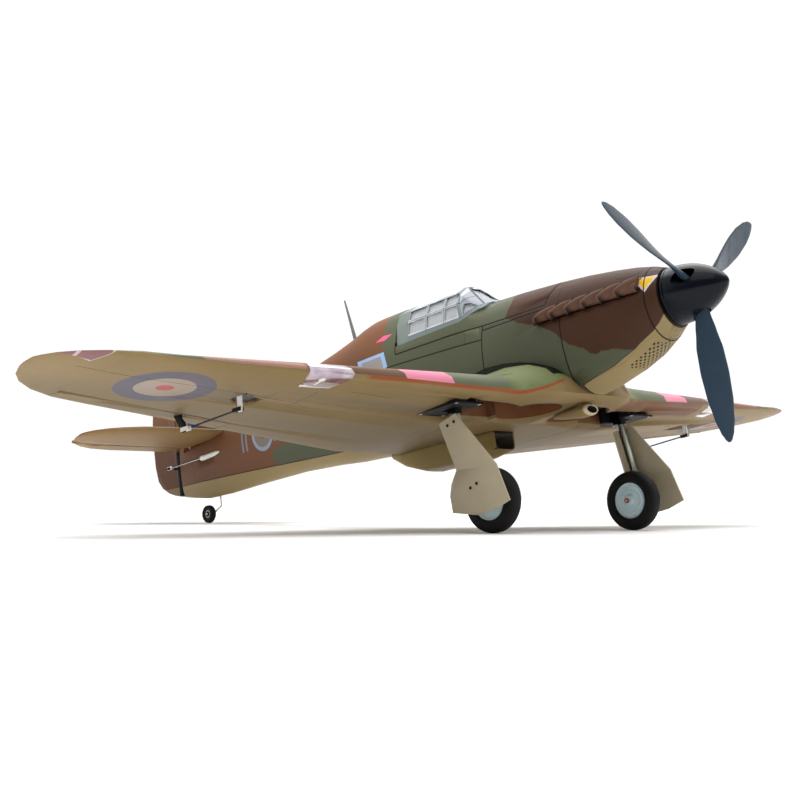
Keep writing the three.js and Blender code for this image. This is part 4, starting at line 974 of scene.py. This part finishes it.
# ----- propeller
# Stations along a blade, as (radius, chord, thickness)
BLADE = (
    (9, 15, 8), (28, 16, 7), (45, 22, 5.6), (65, 30, 4.4), (90, 34, 3.4), (115, 33, 2.8),
    (138, 26, 2.2), (151, 18, 1.8), (158, 10, 1.4), (161, 4, 1),
)
BLADE_PITCH = 280
BLADE_ROOT, BLADE_REACH = 9, 152
BLADE_ANGLES = (63.5, 183.5, 303.5)


def along_table(table, at):
    """A row of a table between two of its rows, eased a little at each."""
    for low, high in zip(table, table[1:]):
        if at <= high[0]:
            share = (at - low[0]) / (high[0] - low[0])
            share = share * share * (3 - 2 * share) * 0.4 + share * 0.6
            return [a + (b - a) * share for a, b in zip(low, high)]
    return list(table[-1])


def blade_mesh(name, angle):
    """A twisted blade with a blunt leading edge, turned to its angle about the shaft."""
    rings, sides = 60, 28
    vertices = []
    for k in range(rings):
        share = k / (rings - 1)
        radius = BLADE_ROOT + BLADE_REACH * (1 - (1 - share) ** 1.5)
        _, chord, thick = along_table(BLADE, radius)
        pitch = math.atan(BLADE_PITCH / (2 * math.pi * max(radius, 24)))
        for turn in turns(sides):
            c = math.cos(turn) * chord / 2
            t = math.sin(turn) * thick / 2 * (0.75 + 0.25 * math.cos(turn))
            vertices.append((
                PROP_X + c * math.sin(pitch) + t * math.cos(pitch),
                -c * math.cos(pitch) + t * math.sin(pitch),
                radius,
            ))
    faces = strip_faces(rings, sides) + end_faces(rings, sides)
    return new_mesh(name, vertices, faces, Matrix.Rotation(math.radians(angle), 4, "X"), 60)


blades = [blade_mesh(f"blade_{i}", angle) for i, angle in enumerate(BLADE_ANGLES)]
BLADE_HUB_PROFILE = (
    (-52, 3.1), (-52, 11.4), (-51.4, 12), (-28.6, 12), (-28, 11.4), (-28, 3.1), (-52, 3.1),
)
blades.append(lathe("blade_hub", BLADE_HUB_PROFILE))
place(joined("propeller_blades", blades), "propeller_group", "spinner_gloss", M_BLADE, "propeller")

SPINNER_LENGTH = 60
SPINNER_RADIUS = 30.8
SPINNER_WALL = 1.8
SPINNER_STEPS = 48
OPENING_SIDES = 24


def spinner_profile():
    """The shell's outside from its tip back, then its inside to near the tip again."""
    stations = []
    for i in range(SPINNER_STEPS + 1):
        share = (i / SPINNER_STEPS) ** 1.6
        radius = SPINNER_RADIUS * math.sin(math.pi / 2 * share ** 0.7)
        stations.append((-SPINNER_LENGTH * share, radius))
    last = stations[-1]
    inside = [(last[0], last[1] - SPINNER_WALL)]
    inside += [(x - 0.6, radius - SPINNER_WALL) for x, radius in reversed(stations[6:-1])]
    return stations + inside + [(-3, 0)]


def blade_opening(name, angle):
    """A cutter with a leaning, rounded outline, as large as the gap round a blade's root."""
    outline = []
    for turn in turns(OPENING_SIDES):
        u = math.copysign(abs(math.cos(turn)) ** 0.7, math.cos(turn)) * 11
        v = math.copysign(abs(math.sin(turn)) ** 0.7, math.sin(turn)) * 9
        outline.append((u + v * 0.35, v))
    vertices = [(PROP_X + u, v, radius) for radius in (14, 50) for u, v in outline]
    faces = strip_faces(2, OPENING_SIDES) + end_faces(2, OPENING_SIDES)
    return new_mesh(name, vertices, faces, Matrix.Rotation(math.radians(angle), 4, "X"))


def cut_away(obj, cutter, angle):
    """Takes a cutter's volume out of an object, and removes the cutter."""
    modifier = obj.modifiers.new("openings", "BOOLEAN")
    modifier.operation = "DIFFERENCE"
    modifier.solver = "EXACT"
    modifier.object = cutter
    bpy.context.view_layer.update()
    evaluated = obj.evaluated_get(bpy.context.evaluated_depsgraph_get())
    result = bpy.data.meshes.new_from_object(evaluated)
    obj.modifiers.clear()
    obj.data = result
    shade(result, angle)
    bpy.data.objects.remove(cutter)


spinner = lathe("spinner_shell", spinner_profile(), sides=96, angle=40)
cutters = [blade_opening(f"cutter_{i}", angle) for i, angle in enumerate(BLADE_ANGLES)]
cut_away(spinner, joined("spinner_cutter", cutters), 40)
place(spinner, "propeller_group", "spinner_gloss", M_SPINNER, "spinner")
BACKPLATE_PROFILE = (
    (-63.6, 3.1), (-63.6, 30.4), (-63, 31), (-61.2, 31), (-60.6, 30.6), (-60.6, 3.1), (-63.6, 3.1),
)
backplate = lathe("spinner_back", BACKPLATE_PROFILE, sides=96)
place(backplate, "propeller_group", "spinner_gloss", M_SPINNER, "spinner_backplate")

# ----- exhaust stubs
EXHAUST_FRONT, EXHAUST_REAR, EXHAUST_Z = -86, -210, 13
EXHAUST_LENGTH = EXHAUST_FRONT - EXHAUST_REAR
STUBS = 6
STUB_PITCH = EXHAUST_LENGTH / STUBS
STUB_REACH = 21


def stub_mesh(name, x, skin_y, z, side):
    """One flattened stub: it swells out of the nose, sweeps back and ends in a dark mouth."""
    sides, steps = 20, 12
    rings = []
    for k in range(steps):
        share = k / (steps - 1)
        bend = math.sin(share * math.pi / 2)
        centre = Vector((x + 8 - STUB_REACH * share - 3 * bend, (skin_y - 4 + 8.5 * bend) * side,
                         z + 1.5 - 5.5 * share * share))
        tall = 7.6 - 2.6 * share
        wide = 3.2 + 2.4 * bend
        rings.append((centre, wide, tall))
    # the mouth: its rim turns inwards, and its floor lies two rings back
    for back, wall in ((1, 1.3), (3, 1.6)):
        centre, wide, tall = rings[steps - back]
        rings.append((centre, wide - wall, tall - wall))
    vertices = []
    for centre, wide, tall in rings:
        for turn in turns(sides):
            vertices.append(centre + Vector((math.sin(turn) * 0.8, math.cos(turn) * wide,
                                             math.sin(turn) * tall)))
    count = len(rings)
    return new_mesh(name, vertices, end_faces(count, sides) + strip_faces(count, sides), angle=50)


def exhaust_paint(name):
    """Brown paint, with painted shade inside the mouths and under the stubs."""
    graph = Graph(name)
    height, tint, roughness = foam(graph)
    phase = ((graph.x - EXHAUST_FRONT) / STUB_PITCH).math("FRACT")
    # Painted shade inside each stub's mouth, and under the stubs
    painted_mouth_shade = phase.fall(0.2, 0.16) * graph.z.fall(12.5, 2.5)
    color = graph.mix(EXHAUST_BROWN, srgb(24, 15, 12), painted_mouth_shade.high(graph.z.fall(7.4, 1.2) * 0.7))
    return graph.finish(tinted(graph, color, tint), roughness, height, 0.0002,
                        Specular_IOR_Level=0.25)


M_EXHAUST = exhaust_paint("exhaust_paint")
for side, sign in SIDES:
    row = []
    for i in range(STUBS):
        x = EXHAUST_FRONT - STUB_PITCH * (i + 0.35)
        depth = (EXHAUST_FRONT - x) / EXHAUST_LENGTH
        skin_y = 37.5 + depth * 9.5
        row.append(stub_mesh(f"stub_{side}_{i}", x, skin_y, EXHAUST_Z + 2.5 - 2 * depth, sign))
    strip = [(EXHAUST_FRONT - EXHAUST_LENGTH * k / 24, (36.2 + 11 * k / 24) * sign, EXHAUST_Z)
             for k in range(25)]
    row.append(tapered_tube(f"rail_{side}", strip, 5.4, 4.6))
    place(joined(f"exhaust_{side}_stubs", row), "airframe", "foam_brown", M_EXHAUST, f"exhaust_{side}")

# ----- screws
DOOR_Y = 155.4
DOOR_SCREWS = ((-267, -98.4), (-257.5, -96.2), (-247.5, -168.5), (-238.4, -165.5))
SCREW_PROFILE = ((-0.55, 0), (-0.55, 1.2), (-0.2, 1.7), (0.5, 1.7), (0.5, 0))
for side, sign in SIDES:
    screws = []
    for index, (x, z) in enumerate(DOOR_SCREWS):
        matrix = across((x, DOOR_Y * sign, z)) @ Matrix.Scale(-sign, 4, (1, 0, 0))
        screws.append(lathe(f"screw_{side}_{index}", SCREW_PROFILE, matrix, 20))
    place(joined(f"door_screws_{side}", screws), f"gear_{side}", "black_plastic", M_BLACK)

# ----- wheels
WHEEL_RADIUS = 34.3


def tyre_profile(radius, inner, half):
    """A closed section: flat at the rim, fuller at the tread than a circle."""
    points = [(-half * 0.72, inner)]
    for k in range(25):
        turn = math.pi * k / 24
        u = -math.cos(turn)
        v = math.sin(turn) ** 0.62
        points.append((half * math.copysign(abs(u) ** 0.8, u), inner + 2 + (radius - inner - 2) * v))
    points.append((half * 0.72, inner))
    points.append(points[0])
    return points


HUB_PROFILE = (
    (-7.0, 20.4), (-6.2, 20.8), (-5.4, 20.2), (-4.6, 18.2), (-5.6, 17.6), (-5.9, 13.6), (-5.2, 13.0),
    (-6.2, 12.4), (-6.8, 8.4), (-6.2, 7.8), (-8.2, 6.2), (-10.6, 5.2), (-11, 4.6), (-11, 2.3),
    (8.8, 2.3), (8.8, 4.8), (5.4, 7), (4.4, 17.4), (6.4, 20.4), (7, 20.8), (-7.0, 20.4),
)
AXLE_CAP_PROFILE = ((-14.2, 0), (-14.2, 2.6), (-13.8, 3), (-11.6, 3), (-11.6, 0))
for side, sign in SIDES:
    centre = pivot(f"wheel_{side}_spin")
    inwards = across(centre) @ Matrix.Scale(sign, 4, (1, 0, 0))
    body = f"wheel_{side}"
    tyre = lathe(f"tyre_{side}_round", tyre_profile(WHEEL_RADIUS, 20.9, 10), across(centre), 96)
    place(tyre, body, "tyre_rubber", M_RUBBER, f"tyre_{side}")
    wheel = lathe(f"hub_{side}_rings", HUB_PROFILE, inwards, 72)
    place(wheel, body, "hub_grey", M_HUB, f"wheel_hub_{side}")
    cap = lathe(f"axle_cap_{side}", AXLE_CAP_PROFILE, inwards, 32)
    place(cap, f"gear_{side}", "white_plastic", M_RED)

tail_centre = pivot("tail_wheel_spin")
tail_tyre = lathe("tail_tyre_round", tyre_profile(12.5, 7.2, 4), across(tail_centre), 64)
place(tail_tyre, "tail_wheel_body", "tyre_rubber", M_RUBBER, "tail_wheel")
TAIL_HUB_PROFILE = (
    (-3.2, 7.4), (-3.4, 6.6), (-2.2, 5.8), (-2.4, 3.4), (-3.8, 3), (-3.8, 1.7), (3.8, 1.7),
    (3.8, 3), (2.4, 3.4), (2.2, 5.8), (3.4, 6.6), (3.2, 7.4), (-3.2, 7.4),
)
tail_hub = lathe("tail_hub", TAIL_HUB_PROFILE, across(tail_centre), 48)
place(tail_hub, "tail_wheel_body", "hub_grey", M_TAIL_HUB)

# ----- floor, light and camera
floor_mesh = bpy.data.meshes.new("floor")
floor_mesh.from_pydata([(-30, -30, 0), (30, -30, 0), (30, 30, 0), (-30, 30, 0)], [], [(0, 1, 2, 3)])
floor = added("floor", floor_mesh)
floor_graph = Graph("floor_paint")
floor_tone = floor_graph.mix(srgb(250, 250, 250), srgb(244, 244, 244), floor_graph.noise(400, 2))
floor_mesh.materials.append(floor_graph.finish(floor_tone, 0.7))

# Which way the camera looks: level with the wheels, from ahead on the right
LOOK = Vector((-0.700102, 0.710952, 0.066373))

# A white sweep behind the aeroplane and overhead, dim on the camera's side
world = bpy.data.worlds.new("studio")
world.use_nodes = True
tree = world.node_tree
background = tree.nodes["Background"]
direction = tree.nodes.new("ShaderNodeTexCoord").outputs["Generated"]
facing = tree.nodes.new("ShaderNodeVectorMath")
facing.operation = "DOT_PRODUCT"
facing.inputs[1].default_value = (LOOK.x, LOOK.y, 0.55)
tree.links.new(direction, facing.inputs[0])
level = tree.nodes.new("ShaderNodeMapRange")
level.interpolation_type = "SMOOTHSTEP"
for name, number in (("From Min", -0.75), ("From Max", 0.45), ("To Min", 0.2), ("To Max", 1.06)):
    level.inputs[name].default_value = number
tree.links.new(facing.outputs["Value"], level.inputs["Value"])
tree.links.new(level.outputs["Result"], background.inputs["Strength"])
background.inputs["Color"].default_value = (1, 1, 1, 1)
scene.world = world


def lamp(name, kind, power, aim):
    """A lamp that shines along a direction."""
    data = bpy.data.lights.new(name, kind)
    data.energy = power
    obj = added(name, data)
    obj.rotation_euler = Vector(aim).to_track_quat("-Z", "Y").to_euler()
    return obj


lamp("overhead", "SUN", 2.6, (0.25, -0.3, -1)).data.angle = math.radians(70)
key = lamp("key", "AREA", 16, (-1.2, 1.6, -2.4))
key.data.size = 2.0
key.location = (1.2, -1.6, 2.6)

camera_data = bpy.data.cameras.new("camera")
camera_data.sensor_width = 36
camera_data.lens = 66.01
camera_data.clip_end = 100
camera = added("camera", camera_data)
right = Vector((0.712712, 0.701444, 0.004195))
down = Vector((-0.043575, 0.050242, -0.997786))
turn = Matrix((right, -down, -LOOK)).transposed().to_4x4()
camera.matrix_world = Matrix.Translation((1.284662, -1.282665, 0.036636)) @ turn
scene.camera = camera
scene.view_settings.view_transform = "Standard"
